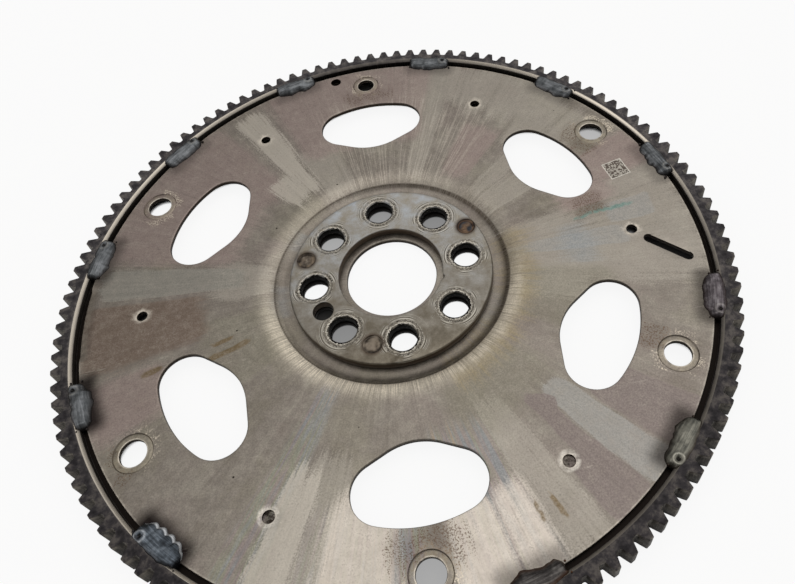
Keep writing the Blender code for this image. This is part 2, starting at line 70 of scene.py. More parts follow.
# %% [markdown]
# Colours are easiest to judge on a screen, where they are sRGB, but shaders work in linear light.
# One function does that change, and one more adds any shader node with its settings and links.
# Every steel below draws its patterns over the place in millimetres, and most tell a wall from a
# face by its normal, so those two short chains of nodes get a name as well.

# %% Colour and node helpers
def linear(hex_colour):
    """An sRGB hex colour as the linear RGBA that a shader works in."""
    channels = []
    for start in (1, 3, 5):
        value = int(hex_colour[start:start + 2], 16) / 255
        channels.append(value / 12.92 if value <= 0.04045 else ((value + 0.055) / 1.055) ** 2.4)
    return (*channels, 1.0)


def add_node(tree, kind, sockets=None, stops=None, out=0, **settings):
    """Add one shader node and set its options, sockets and colour stops.

    Hex colours become linear. It gives the output named by out, or the node itself if out is None.
    """
    made = tree.nodes.new("ShaderNode" + kind)
    for name, value in settings.items():
        setattr(made, name, value)
    for key, value in (sockets or {}).items():
        if isinstance(value, bpy.types.NodeSocket):
            tree.links.new(value, made.inputs[key])
        else:
            made.inputs[key].default_value = linear(value) if isinstance(value, str) else value
    for index, (place, colour) in enumerate(stops or []):
        elements = made.color_ramp.elements
        stop = elements[index] if index < 2 else elements.new(place)
        stop.position = place
        stop.color = linear(colour)
    return made if out is None else made.outputs[out]


def start_material(name):
    """A new node material, with its tree and its Principled shader."""
    material = bpy.data.materials.new(name)
    material.use_nodes = True
    tree = material.node_tree
    return material, tree, tree.nodes["Principled BSDF"]


def place_in_mm(tree):
    """The place on the part, in millimetres, that a pattern is drawn over."""
    place = add_node(tree, "TexCoord", out="Object")
    return add_node(tree, "VectorMath", {0: place, "Scale": 1 / MM}, operation='SCALE')


def flatness(tree):
    """1 on a face that lies flat, and 0 on an upright wall."""
    normal = add_node(tree, "NewGeometry", out="True Normal")
    upright = add_node(tree, "SeparateXYZ", {0: normal}, out="Z")
    return add_node(tree, "Math", {0: upright}, operation='ABSOLUTE')


def grey(value):
    return (value, value, value, 1.0)


print("white in linear light:", linear("#ffffff")[:3])

# %% [markdown]
# The picture was taken from above the near rim at about 55 degrees. A camera was fitted to the bolt
# holes and the upright tooth edges, which gives its place, its turn, its focal length and the
# small shift of the frame.

# %% Camera
CAMERA_PLACE = Vector((20.9, -222.2, 328.6)) * MM
CAMERA_TURN = Euler([math.radians(angle) for angle in (39.61, 5.30, -8.63)])
CAMERA_LENS = 34.53
CAMERA_SENSOR = 36.0
CAMERA_SHIFT = (-0.0512, -0.1238)
NEAREST_SEEN = 0.01

camera_data = bpy.data.cameras.new("studio_camera")
camera_data.lens = CAMERA_LENS
camera_data.sensor_width = CAMERA_SENSOR
camera_data.shift_x, camera_data.shift_y = CAMERA_SHIFT
camera_data.clip_start = NEAREST_SEEN
camera = bpy.data.objects.new("studio_camera", camera_data)
camera.location = CAMERA_PLACE
camera.rotation_euler = CAMERA_TURN
bpy.context.scene.collection.objects.link(camera)
bpy.context.scene.camera = camera
print("camera at", [round(value / MM) for value in camera.location], "mm")

# %% [markdown]
# The floor is matt white paper that only catches the light. For the camera it glows a little, as
# the backdrop does. Where the part covers most of the sky, as under a small hole, the glow stops,
# so small holes stay dark. Ambient occlusion measures that, but it misses the long soft shade
# beside a wall, so a few spots on the table are dimmed by a list of places in millimetres.

# %% Floor
FLOOR_SIZE = 8.0
FLOOR_DROP = 0.2 * MM
FLOOR_GLOW = 0.90
SKY_LOOK = 32 * MM
SKY_SHUT = 0.09
SKY_OPEN = 0.15
PART_REACH = 170 * MM
# Spots that lie in shade: x, y and reach in mm, and how much of the glow is lost there
SHADED_SPOTS = [
    (-2, 46, 9, 0.7), (27, 35, 9, 0.75), (-28, -24, 9, 0.75), (-37, -11, 6, 1.0), (127, 80, 11, 0.5),
    (-1, -141, 12, 0.6), (142, -9, 17, 1.0), (-30, 33, 9, 0.6), (-1, 153, 9, 1.0),
]
SHADE_EDGE = 3

half = FLOOR_SIZE / 2
floor_mesh = bpy.data.meshes.new("studio_floor")
corners = [(-half, -half), (half, -half), (half, half), (-half, half)]
floor_mesh.from_pydata([(x, y, -FLOOR_DROP) for x, y in corners], [], [(0, 1, 2, 3)])
floor = bpy.data.objects.new("studio_floor", floor_mesh)
bpy.context.scene.collection.objects.link(floor)
floor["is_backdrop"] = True

paper, tree, shader = start_material("matt_white_paper")
shader.inputs["Base Color"].default_value = linear("#f2f2f2")
shader.inputs["Roughness"].default_value = 0.9
seen = add_node(tree, "LightPath", out="Is Camera Ray")
sky_share = add_node(tree, "AmbientOcclusion", {"Distance": SKY_LOOK}, samples=96, out="AO")
open_sky = add_node(tree, "MapRange", {"Value": sky_share, "From Min": SKY_SHUT, "From Max": SKY_OPEN},
                    interpolation_type='SMOOTHSTEP')
on_table = add_node(tree, "TexCoord", out="Object")
for x, y, reach, loss in SHADED_SPOTS:
    away = add_node(tree, "VectorMath", {0: on_table, 1: (x * MM, y * MM, 0)}, operation='DISTANCE',
                    out="Value")
    left = add_node(tree, "MapRange", {"Value": away, "From Min": reach * MM,
                                       "From Max": (reach + SHADE_EDGE) * MM, "To Min": 1 - loss})
    open_sky = add_node(tree, "Math", {0: open_sky, 1: left}, operation='MULTIPLY')
from_middle = add_node(tree, "VectorMath", {0: on_table}, operation='LENGTH', out="Value")
lift = add_node(tree, "Math", {0: seen, 1: FLOOR_GLOW}, operation='MULTIPLY')
hole_glow = add_node(tree, "Emission", {"Color": grey(1.0), "Strength": open_sky})
open_glow = add_node(tree, "Emission", {"Color": grey(1.0), "Strength": 1.0})
under = add_node(tree, "Math", {0: from_middle, 1: PART_REACH}, operation='LESS_THAN')
glow = add_node(tree, "MixShader", {0: under, 1: open_glow, 2: hole_glow})
blend = add_node(tree, "MixShader", {0: lift, 1: shader.outputs[0], 2: glow})
tree.links.new(blend, tree.nodes["Material Output"].inputs["Surface"])
floor_mesh.materials.append(paper)
print("floor of", FLOOR_SIZE, "m with", len(SHADED_SPOTS), "shaded spots")

# %% [markdown]
# Bare steel shows mostly what it reflects, so the light is a soft room and not a lamp: bright
# overhead and to the right, dimmer to the left, dark near the ground and where the photographer
# stands. A gradient on the world does that, and it stays fixed to the world, not to the camera.

# %% Soft studio light
GROUND_LEVEL = 0.16
SIDE_LEVEL = 0.62
ZENITH_LEVEL = 1.60
LEFT_SHARE = 0.62
RIGHT_SHARE = 1.10
BACKDROP_LEVEL = 0.97
# Parts of the room: direction, cosines where it starts and is full, and the level outside and inside
SOFT_WINDOW = ((-0.84, 0.02, 0.54), 0.93, 0.99, 0.0, 0.9)
PHOTOGRAPHER = ((0.02, -0.66, 0.75), 0.62, 0.94, 1.0, 0.40)
PALE_WALL = ((0.10, 0.84, 0.53), 0.88, 0.99, 0.0, 0.14)

world = bpy.data.worlds.new("soft_room")
world.use_nodes = True
bpy.context.scene.world = world
tree = world.node_tree
backdrop = tree.nodes["Background"]
direction = add_node(tree, "TexCoord", out="Generated")
parts = add_node(tree, "SeparateXYZ", {0: direction}, out=None)
low_sky = add_node(tree, "MapRange", {"Value": parts.outputs["Z"], "From Min": 0.06, "From Max": 0.46,
                   "To Min": GROUND_LEVEL, "To Max": SIDE_LEVEL}, interpolation_type='SMOOTHSTEP')
high_sky = add_node(tree, "MapRange", {"Value": parts.outputs["Z"], "From Min": 0.60, "From Max": 1.0,
                    "To Max": ZENITH_LEVEL - SIDE_LEVEL}, interpolation_type='SMOOTHSTEP')
sides = add_node(tree, "MapRange", {"Value": parts.outputs["X"], "From Min": -0.55, "From Max": 0.45,
                 "To Min": LEFT_SHARE, "To Max": RIGHT_SHARE}, interpolation_type='SMOOTHSTEP')
levels = []
for heading, start, full, outside, within in (SOFT_WINDOW, PHOTOGRAPHER, PALE_WALL):
    toward = add_node(tree, "VectorMath", {0: direction, 1: Vector(heading).normalized()},
                      operation='DOT_PRODUCT', out="Value")
    levels.append(add_node(tree, "MapRange", {"Value": toward, "From Min": start, "From Max": full,
                           "To Min": outside, "To Max": within}, interpolation_type='SMOOTHSTEP'))
window, shade, wall = levels
sky = add_node(tree, "Math", {0: low_sky, 1: high_sky}, operation='ADD')
sided = add_node(tree, "Math", {0: sky, 1: sides}, operation='MULTIPLY')
boxes = add_node(tree, "Math", {0: window, 1: wall}, operation='ADD')
lit = add_node(tree, "Math", {0: sided, 1: boxes}, operation='ADD')
room = add_node(tree, "Math", {0: lit, 1: shade}, operation='MULTIPLY')
seen = add_node(tree, "LightPath", out="Is Camera Ray")
level = add_node(tree, "Mix", {0: seen, 2: room, 3: BACKDROP_LEVEL}, data_type='FLOAT')
backdrop.inputs["Color"].default_value = linear("#fffdfa")
tree.links.new(level, backdrop.inputs["Strength"])
bpy.context.scene.view_settings.view_transform = 'Standard'
print("room from", GROUND_LEVEL, "at the ground to", ZENITH_LEVEL, "overhead")

# %% [markdown]
# The sheet, the ring gear and the hub plate are all flat pieces whose two faces follow a height.
# So each is made as an engineer draws it: sizes in millimetres, angles counted from the tight
# converter hole. Heights and the hub plate's radius are read from the imported model.

# %% Sizes shared by the pieces
def top_of(node):
    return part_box(node)[1].z / MM


def radius_of(node):
    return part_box(node)[1].y / MM


RING_TOP = top_of("ring_gear")
PLATE_TOP = top_of("hub_plate")
PLATE_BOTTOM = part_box("hub_plate")[0].z / MM
SHEET = 2.6
SHEET_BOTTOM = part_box("flexplate_disc")[0].z / MM
FLOOR_TOP = SHEET_BOTTOM + SHEET
DISC_TOP = top_of("flexplate_disc")
BORE_RADIUS = 160.0
RIM_RADIUS = 157.4
CONVERTER_RADIUS = 143.3
CONVERTER_HOLE = 6.25
LOCATING_HOLE = 4.95
COIN_WIDTH = 2.8
COIN_DEPTH = 0.25
CRANK_CIRCLE = 39.15
CRANK_PHASE = 2.58
CRANK_BOLTS = 8
CRANK_HOLE = 6.9
SHEET_BOLT_HOLE = 6.55
DOWEL_HOLE = 5.1
DOWEL_ANGLE = CRANK_PHASE + 2.5 * 360 / CRANK_BOLTS


def polar(radius, degrees):
    """A point in the plan, in millimetres, at an angle from the tight converter hole."""
    turn = math.radians(degrees)
    return np.array((-radius * math.sin(turn), radius * math.cos(turn)))


def circle(centre, radius, count, start=0.0):
    turns = np.linspace(0, 2 * math.pi, count, endpoint=False) + start
    return np.stack((centre[0] + radius * np.cos(turns), centre[1] + radius * np.sin(turns)), axis=1)


LATTICE = 97


def drift(x, y, size, seed):
    """Smooth random values from 0 to 1 that change over about size millimetres."""
    lattice = np.random.default_rng(seed).random((LATTICE, LATTICE))
    across, along = x / size, y / size
    column, row = np.floor(across).astype(int), np.floor(along).astype(int)
    across, along = across - column, along - row
    across, along = across ** 2 * (3 - 2 * across), along ** 2 * (3 - 2 * along)
    columns = (column % LATTICE, (column + 1) % LATTICE)
    rows = (row % LATTICE, (row + 1) % LATTICE)
    near, far = (lattice[columns[0], at] * (1 - across) + lattice[columns[1], at] * across for at in rows)
    return near * (1 - along) + far * along


def smooth(value):
    value = np.clip(value, 0.0, 1.0)
    return value * value * (3 - 2 * value)


def between(value, low, high, soft):
    """1 between two limits, falling to 0 over a soft edge."""
    return smooth((value - low) / soft + 0.5) * smooth((high - value) / soft + 0.5)


def edge_drop(distance, radius):
    """How far a rounded edge lies below its face, at a distance in from the edge."""
    inside = np.clip(radius - distance, 0.0, radius)
    return radius - np.sqrt(radius ** 2 - inside ** 2)


print("sheet face at", round(DISC_TOP, 2), "mm, hub plate at", round(PLATE_TOP, 2), "mm")

# %% [markdown]
# A plate with holes is triangulated in the plan and then given two skins. The outlines are edges
# that the triangulation must keep, and extra points inside carry the fine form, such as a rounded
# edge or a dimple. A Boolean would cut the same holes, but it leaves no points for that form.

# %% Turn a drawing into a solid plate
def inside_loop(points, loop):
    """Which points lie inside a closed outline."""
    inside = np.zeros(len(points), bool)
    low, high = loop.min(0), loop.max(0)
    near = np.all((points > low) & (points < high), axis=1)
    x, y = points[near, 0][:, None], points[near, 1][:, None]
    x0, y0 = loop[:, 0], loop[:, 1]
    x1, y1 = np.roll(x0, -1), np.roll(y0, -1)
    rise = np.where(y1 == y0, 1e-12, y1 - y0)
    crossing = ((y0 > y) != (y1 > y)) & (x < (x1 - x0) * (y - y0) / rise + x0)
    inside[near] = crossing.sum(axis=1) % 2 == 1
    return inside


def grown(loop, distance):
    """An outline moved outwards along its normals."""
    along = np.roll(loop, -1, axis=0) - np.roll(loop, 1, axis=0)
    normal = np.stack((along[:, 1], -along[:, 0]), axis=1)
    normal /= np.linalg.norm(normal, axis=1)[:, None]
    signed = np.sum(loop[:, 0] * np.roll(loop[:, 1], -1) - np.roll(loop[:, 0], -1) * loop[:, 1])
    return loop + normal * distance * np.sign(signed)


def triangulate(outer, holes, fill):
    """Plan points and triangles of a plate that keeps its outlines, and each point's source."""
    loops = [outer] + holes
    points = [tuple(spot) for loop in loops for spot in loop] + [tuple(spot) for spot in fill]
    edges = []
    start = 0
    for loop in loops:
        count = len(loop)
        edges += [(start + k, start + (k + 1) % count) for k in range(count)]
        start += count
    found = delaunay_2d_cdt([Vector(spot) for spot in points], edges, [], 1, 1e-6)
    plan = np.array([tuple(spot) for spot in found[0]])
    faces = np.array([face for face in found[2]])
    source = np.array([origin[0] if origin else -1 for origin in found[3]])
    centres = plan[faces].mean(axis=1)
    keep = np.ones(len(faces), bool)
    for hole in holes:
        keep &= ~inside_loop(centres, hole)
    faces = faces[keep]
    a, b, c = (plan[faces[:, k]] for k in range(3))
    turn = (b - a)[:, 0] * (c - a)[:, 1] - (b - a)[:, 1] * (c - a)[:, 0]
    faces[turn < 0] = faces[turn < 0][:, ::-1]
    return plan, faces, source


def clear_of(points, loops, margin):
    """Only the points that stay clear of every outline."""
    for loop in loops:
        ring = grown(loop, margin)
        points = points[~inside_loop(points, ring)]
    return points


def build_plate(name, plan, faces, top, bottom):
    """A closed solid from a plan, its two skins and the walls between them."""
    count = len(plan)
    high = np.column_stack((plan, top))
    low = np.column_stack((plan, bottom))
    sides = np.sort(np.concatenate((faces[:, [0, 1]], faces[:, [1, 2]], faces[:, [2, 0]])), axis=1)
    directed = np.concatenate((faces[:, [0, 1]], faces[:, [1, 2]], faces[:, [2, 0]]))
    _, where, times = np.unique(sides, axis=0, return_index=True, return_counts=True)
    border = directed[where[times == 1]]
    walls = np.column_stack((border[:, 0], border[:, 0] + count, border[:, 1] + count, border[:, 1]))
    polygons = faces.tolist() + (faces[:, ::-1] + count).tolist() + walls.tolist()
    mesh = bpy.data.meshes.new(name)
    mesh.from_pydata((np.concatenate((high, low)) * MM).tolist(), [], polygons)
    piece = bpy.data.objects.new(name, mesh)
    bpy.context.scene.collection.objects.link(piece)
    return piece


def finish_piece(piece, nodes, sharp_degrees=40.0):
    """Shade a piece, let it ride on the part and stand for its CAD nodes."""
    piece.data.shade_smooth()
    piece.data.set_sharp_from_angle(angle=math.radians(sharp_degrees))
    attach(piece, "root")
    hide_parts(*nodes)
    triangles = sum(len(face.vertices) - 2 for face in piece.data.polygons)
    print(piece.name, "has", triangles, "triangles")


def paint(piece, name, values):
    """Keep a mask on the points of a piece, for its material to read."""
    layer = piece.data.attributes.new(name, 'FLOAT', 'POINT')
    layer.data.foreach_set("value", np.asarray(values, np.float32))


print("a rounded edge of 0.4 mm drops", round(float(edge_drop(0.0, 0.4)), 2), "mm")

# %% [markdown]
# The disc is one blanked and drawn sheet: a flat web, six windows, and a dish that drops to the
# crankshaft's flange. The web bends down over a wide shoulder to a crease, and a round fillet runs
# from the crease to the dish floor. Both skins follow the same centres, so the sheet keeps its
# thickness round the bend, as drawn steel nearly does.

# %% The dish, as heights over the radius
DISH_FLOOR = 55.2
DISH_FILLET = 7.8
CREASE_SHARE = 0.55
SHOULDER_REACH = 9.5
DISH_DEPTH = DISC_TOP - FLOOR_TOP
crease_drop = DISH_DEPTH * CREASE_SHARE
fillet_slope = math.acos(1 - DISH_DEPTH * (1 - CREASE_SHARE) / DISH_FILLET)
CREASE = DISH_FLOOR + DISH_FILLET * math.sin(fillet_slope)
SHOULDER = (SHOULDER_REACH ** 2 + crease_drop ** 2) / (2 * crease_drop)
shoulder_slope = math.asin(SHOULDER_REACH / SHOULDER)
FLAT_START = CREASE + SHOULDER_REACH


def dish_height(radius, depth):
    """Height of a skin that lies at a depth below the sheet's top skin."""
    lower, upper = DISH_FILLET + depth, SHOULDER - depth
    miter = depth / math.cos((fillet_slope - shoulder_slope) / 2)
    crease = CREASE + miter * math.sin((fillet_slope + shoulder_slope) / 2)
    outward = np.clip(radius - DISH_FLOOR, 0, lower * 0.9)
    inward = np.clip(FLAT_START - radius, 0, upper * 0.9)
    fillet = FLOOR_TOP + DISH_FILLET - np.sqrt(lower ** 2 - outward ** 2)
    shoulder = DISC_TOP - SHOULDER + np.sqrt(upper ** 2 - inward ** 2)
    return np.where(radius < crease, fillet, shoulder)


print("crease at radius", round(CREASE, 2), "mm, flat web from", round(FLAT_START, 2), "mm")

# %% [markdown]
# Each window has a blunt nose towards the dish, straight flanks and a shallow arc outside. Its
# outline is drawn once along a radius and turned into place six times.

# %% Outlines of the windows and the slot
WINDOW_GAP = 18.2
WINDOW_OUTER = CONVERTER_RADIUS - WINDOW_GAP
WINDOW_DEPTH = 35.7
NOSE_RADIUS = 29.0
CORNER_RADIUS = 13.5
OUTER_ARC = 60.0
FLANK = math.radians(25)
SLOT_END = polar(RIM_RADIUS - 8.7, -98.4)
SLOT_HEADING = polar(1.0, -133.2)
SLOT_HALF_WIDTH = 2.4
SLOT_LENGTH = 21.1


def sweep(centre, radius, start, end, count):
    turns = np.linspace(start, end, count)
    return np.stack((centre[0] + radius * np.cos(turns), centre[1] + radius * np.sin(turns)), axis=1)


def window_shape():
    """Closed outline, with x along the radius and y across it."""
    nose = np.array((WINDOW_OUTER - WINDOW_DEPTH + NOSE_RADIUS, 0.0))
    outside = np.array((WINDOW_OUTER - OUTER_ARC, 0.0))
    across = np.array((-math.cos(FLANK), math.sin(FLANK)))
    along = np.array((math.sin(FLANK), math.cos(FLANK)))
    start = nose + (NOSE_RADIUS - CORNER_RADIUS) * across
    away = start - outside
    middle = away @ along
    reach = OUTER_ARC - CORNER_RADIUS
    corner = start + (math.sqrt(middle ** 2 - away @ away + reach ** 2) - middle) * along
    lean = math.atan2(*(corner - outside)[::-1])
    flank = math.pi - FLANK
    straight = np.linspace(sweep(corner, CORNER_RADIUS, flank, flank, 1)[0],
                           sweep(nose, NOSE_RADIUS, flank, flank, 1)[0], 10)[1:-1]
    shape = np.concatenate((
        sweep(outside, OUTER_ARC, 0, lean, 14), sweep(corner, CORNER_RADIUS, lean, flank, 20)[1:],
        straight, sweep(nose, NOSE_RADIUS, flank, math.pi, 16)))
    return np.concatenate((shape, shape[-2:0:-1] * (1, -1)))


def turned(shape, degrees):
    return shape[:, :1] * polar(1, degrees) + shape[:, 1:] * polar(1, degrees + 90)


slot_turn = math.atan2(SLOT_HEADING[1], SLOT_HEADING[0])
quarter_turn = math.pi / 2
slot = np.concatenate((
    sweep(SLOT_END, SLOT_HALF_WIDTH, slot_turn - quarter_turn, slot_turn + quarter_turn, 12),
    sweep(SLOT_END - SLOT_LENGTH * SLOT_HEADING, SLOT_HALF_WIDTH, slot_turn + quarter_turn,
          slot_turn + 3 * quarter_turn, 12)))
windows = [turned(window_shape(), -60 * index) for index in range(6)]
print("a window is", np.ptp(window_shape(), axis=0).round(1), "mm along and across the radius")

# %% [markdown]
# Round the six converter holes the sheet is coined: pressed a quarter of a millimetre down in a
# flat ring. Four small tooling holes and two half-pierced buttons lie between them. The points of
# the triangulation are set close only round these, so the plain web stays light.

# %% Points of the disc
CONVERTER_SPOTS = [polar(CONVERTER_RADIUS, -60 * index) for index in range(6)]
HOLE_RADII = [LOCATING_HOLE] + [CONVERTER_HOLE] * 5
TOOLING_RADIUS = 127.1
ODD_TOOLING_SHIFT = {1: 1.8}
TOOLING_SPOTS = [polar(TOOLING_RADIUS - ODD_TOOLING_SHIFT.get(index, 0.0), -60 * index - 30)
                 for index in range(6)]
BUTTONS = (2, 3)
TOOLING_HOLE = 2.65
BUTTON = 2.85
INDEX_SPOT = polar(RIM_RADIUS - 5.5, 7)
INDEX_HOLE = 3.1
SHEET_BORE = 23.0
CRANK_SPOTS = [polar(CRANK_CIRCLE, CRANK_PHASE - 360 / CRANK_BOLTS * k) for k in range(CRANK_BOLTS)]
DOWEL_SPOT = polar(CRANK_CIRCLE, DOWEL_ANGLE)
SHEET_EDGE = 0.45
HOLE_EDGE = 0.3
SMALL_HOLE_EDGE = 0.25
RIM_EDGE = 0.4
CLEARANCE = 1.7
# How far from an edge, as shares of its rounding, the loops of points lie that shape it
EDGE_LOOPS = (0.25, 0.62, 1.05, 2.6)


def inset_loops(loop, outward, radius=SHEET_EDGE):
    """An outline, the loops that round its edge, and how far each point drops."""
    steps = (0.0,) + tuple(share * radius for share in EDGE_LOOPS)
    loops = [grown(loop, step if outward else -step) for step in steps]
    drops = [np.full(len(loop), edge_drop(step, radius)) for step in steps]
    return loops[0], np.concatenate(loops[1:]), drops[0], np.concatenate(drops[1:])


class Drawing:
    """Outlines and points of one plate, with how far its edges drop."""

    def __init__(self, outer, radius):
        self.loops, self.fill, self.loop_drops, self.fill_drops = [], [], [], []
        self.add_edge(outer, False, radius)

    def add_edge(self, loop, outward=True, radius=SHEET_EDGE):
        edge, fill, edge_drops, fill_drops = inset_loops(loop, outward, radius)
        self.loops.append(edge)
        self.loop_drops.append(edge_drops)
        self.fill.append(fill)
        self.fill_drops.append(fill_drops)

    def add_points(self, points):
        points = clear_of(points, self.loops[1:], CLEARANCE)
        self.fill.append(points)
        self.fill_drops.append(np.zeros(len(points)))

    def mesh_plan(self):
        plan, faces, source = triangulate(self.loops[0], self.loops[1:], np.concatenate(self.fill))
        drops = np.concatenate(self.loop_drops + self.fill_drops)
        return plan, faces, drops[source]


def rings(low, high, step, spacing):
    """Points on circles round the axis, staggered from one circle to the next."""
    made = []
    for number, radius in enumerate(np.arange(low, high, step)):
        count = int(round(2 * math.pi * radius / spacing))
        made.append(circle((0, 0), radius, count, start=(number % 2) * math.pi / count))
    return np.concatenate(made)


# Circles of points, in mm: out from a converter hole's edge, round a button, and round the dish
COIN_STEPS = (1.9, 2.45, 2.65, 2.85, 3.05, 3.4, 4.3, 5.3)
BUTTON_STEPS = (0.7, 1.3, 1.9, 2.4, BUTTON - 0.13, BUTTON - 0.03, 3.0, 3.3, 3.8, 4.4, 5.2)
DISH_STEPS = (54.4, 55.3, 56.2, 57.1, 58.0, 58.9, 59.6, CREASE - 0.22, CREASE + 0.02, CREASE + 0.26, 60.9,
              61.8, 62.9, 64.0)
EDGE_BAND = 1.9
COIN_REACH = 5.9
BUTTON_REACH = 5.8

disc = Drawing(circle((0, 0), RIM_RADIUS, 520), RIM_EDGE)
disc.add_edge(circle((0, 0), SHEET_BORE, 110))
for shape in windows:
    disc.add_edge(shape)
for spot, radius in zip(CONVERTER_SPOTS, HOLE_RADII):
    disc.add_edge(circle(spot, radius, 56), radius=HOLE_EDGE)
for index, spot in enumerate(TOOLING_SPOTS):
    if index not in BUTTONS:
        disc.add_edge(circle(spot, TOOLING_HOLE, 32), radius=SMALL_HOLE_EDGE)
disc.add_edge(circle(INDEX_SPOT, INDEX_HOLE, 32), radius=SMALL_HOLE_EDGE)
disc.add_edge(slot, radius=SMALL_HOLE_EDGE)
for spot in CRANK_SPOTS:
    disc.add_edge(circle(spot, SHEET_BOLT_HOLE, 36), radius=HOLE_EDGE)
disc.add_edge(circle(DOWEL_SPOT, DOWEL_HOLE, 30), radius=HOLE_EDGE)
close = [circle(spot, radius + step, 60) for spot, radius in zip(CONVERTER_SPOTS, HOLE_RADII)
         for step in COIN_STEPS]
close += [circle(TOOLING_SPOTS[index], step, 40) for index in BUTTONS for step in BUTTON_STEPS]
disc.add_points(np.concatenate(close))
open_web = rings(65.0, RIM_RADIUS - EDGE_BAND, 1.95, 2.1)
kept_clear = [(spot, radius + COIN_REACH) for spot, radius in zip(CONVERTER_SPOTS, HOLE_RADII)]
kept_clear += [(TOOLING_SPOTS[index], BUTTON_REACH) for index in BUTTONS]
for centre, reach in kept_clear:
    open_web = open_web[np.linalg.norm(open_web - centre, axis=1) > reach]
disc.add_points(open_web)
disc.add_points(np.concatenate([circle((0, 0), distance, 300, start=distance) for distance in DISH_STEPS]))
disc.add_points(rings(25.5, 54.0, 3.2, 3.4))
print("the disc has", len(disc.loops), "outlines and", sum(map(len, disc.fill)), "points between them")

# %% [markdown]
# Besides the dish, the top skin carries the small forms that a press or a mill leaves: the coined
# rings with their groove, the buttons and the dimples round them, raised burrs, and the shallow
# cut at the rim where metal was taken off to balance the part.

# %% Heights of the disc's two skins
CUT_ANGLE = 89.6
CUT_HALF_SPAN = 7.3
CUT_REACH = 4.0
CUT_DEPTH = 1.1
CUT_CORNER = 3.2
CUT_INNER_SHARE = 0.35
GROOVE_DEPTH = 0.16
BUTTON_SINK = 1.3
BUTTON_CROWN = 0.25
BUTTON_RISE = 1.2
DIMPLE_DEPTH = 0.42
DIMPLE_REACH = 5.6
BURR_HEIGHT = 0.10
WAVE_HEIGHT = 0.06
WAVE_SIZE = 34.0
FAR = 99.0

plan, faces, drops = disc.mesh_plan()
radius = np.linalg.norm(plan, axis=1)
angle = np.degrees(np.arctan2(-plan[:, 0], plan[:, 1]))
top = dish_height(radius, 0.0) - drops
bottom = dish_height(radius, SHEET) + drops * 0.5
hole_gap = np.full(len(plan), FAR)
for spot, size in zip(CONVERTER_SPOTS, HOLE_RADII):
    away = np.linalg.norm(plan - spot, axis=1) - size
    hole_gap = np.minimum(hole_gap, away)
top -= COIN_DEPTH * smooth((COIN_WIDTH + 0.15 - hole_gap) / 0.3)
top -= GROOVE_DEPTH * between(hole_gap, COIN_WIDTH - 0.35, COIN_WIDTH + 0.15, 0.25)
button_gap = np.full(len(plan), FAR)
for index in BUTTONS:
    button_gap = np.minimum(button_gap, np.linalg.norm(plan - TOOLING_SPOTS[index], axis=1))
top -= BUTTON_SINK * smooth((BUTTON - 0.03 - button_gap) / 0.1)
top += BUTTON_CROWN * smooth((1.5 - button_gap) / 1.2)
top -= DIMPLE_DEPTH * smooth((DIMPLE_REACH - button_gap) / 2.8)
bottom -= BUTTON_RISE * smooth((BUTTON - button_gap) / 0.16)
burr = np.full(len(plan), FAR)
for index, spot in enumerate(TOOLING_SPOTS):
    if index not in BUTTONS:
        burr = np.minimum(burr, np.linalg.norm(plan - spot, axis=1) - TOOLING_HOLE)
top += BURR_HEIGHT * between(burr, 0.25, 1.0, 0.4)
sideways = np.radians(np.abs(angle - CUT_ANGLE)) * (RIM_RADIUS - CUT_REACH)
half_width = math.radians(CUT_HALF_SPAN) * (RIM_RADIUS - CUT_REACH)
inward = radius - (RIM_RADIUS - CUT_REACH)
round_end = CUT_CORNER - np.hypot(np.clip(sideways - half_width + CUT_CORNER, 0, None),
                                  np.clip(CUT_CORNER - inward, 0, None))
cut = smooth(round_end / 0.35 + 0.5)
top -= cut * CUT_DEPTH * (CUT_INNER_SHARE + (1 - CUT_INNER_SHARE) * np.clip(inward / CUT_REACH, 0, 1))
waves = drift(plan[:, 0], plan[:, 1], WAVE_SIZE, 5) - 0.5
top += WAVE_HEIGHT * waves * smooth((radius - 66) / 6)
stamped_disc = build_plate("stamped_disc", plan, faces, top, bottom)
print("the disc's plan has", len(plan), "points")

# %% [markdown]
# The sheet was oiled, drawn, baked by the welding and then stored damp, so it wears thin films:
# pale streaks that run outwards, purple-brown heat tint, yellowed oil, dried drops and a little
# rust. Each film is a few spans of angle and of radius. Painting pictures would tie the look to
# one image size, and a table of spans stays editable.

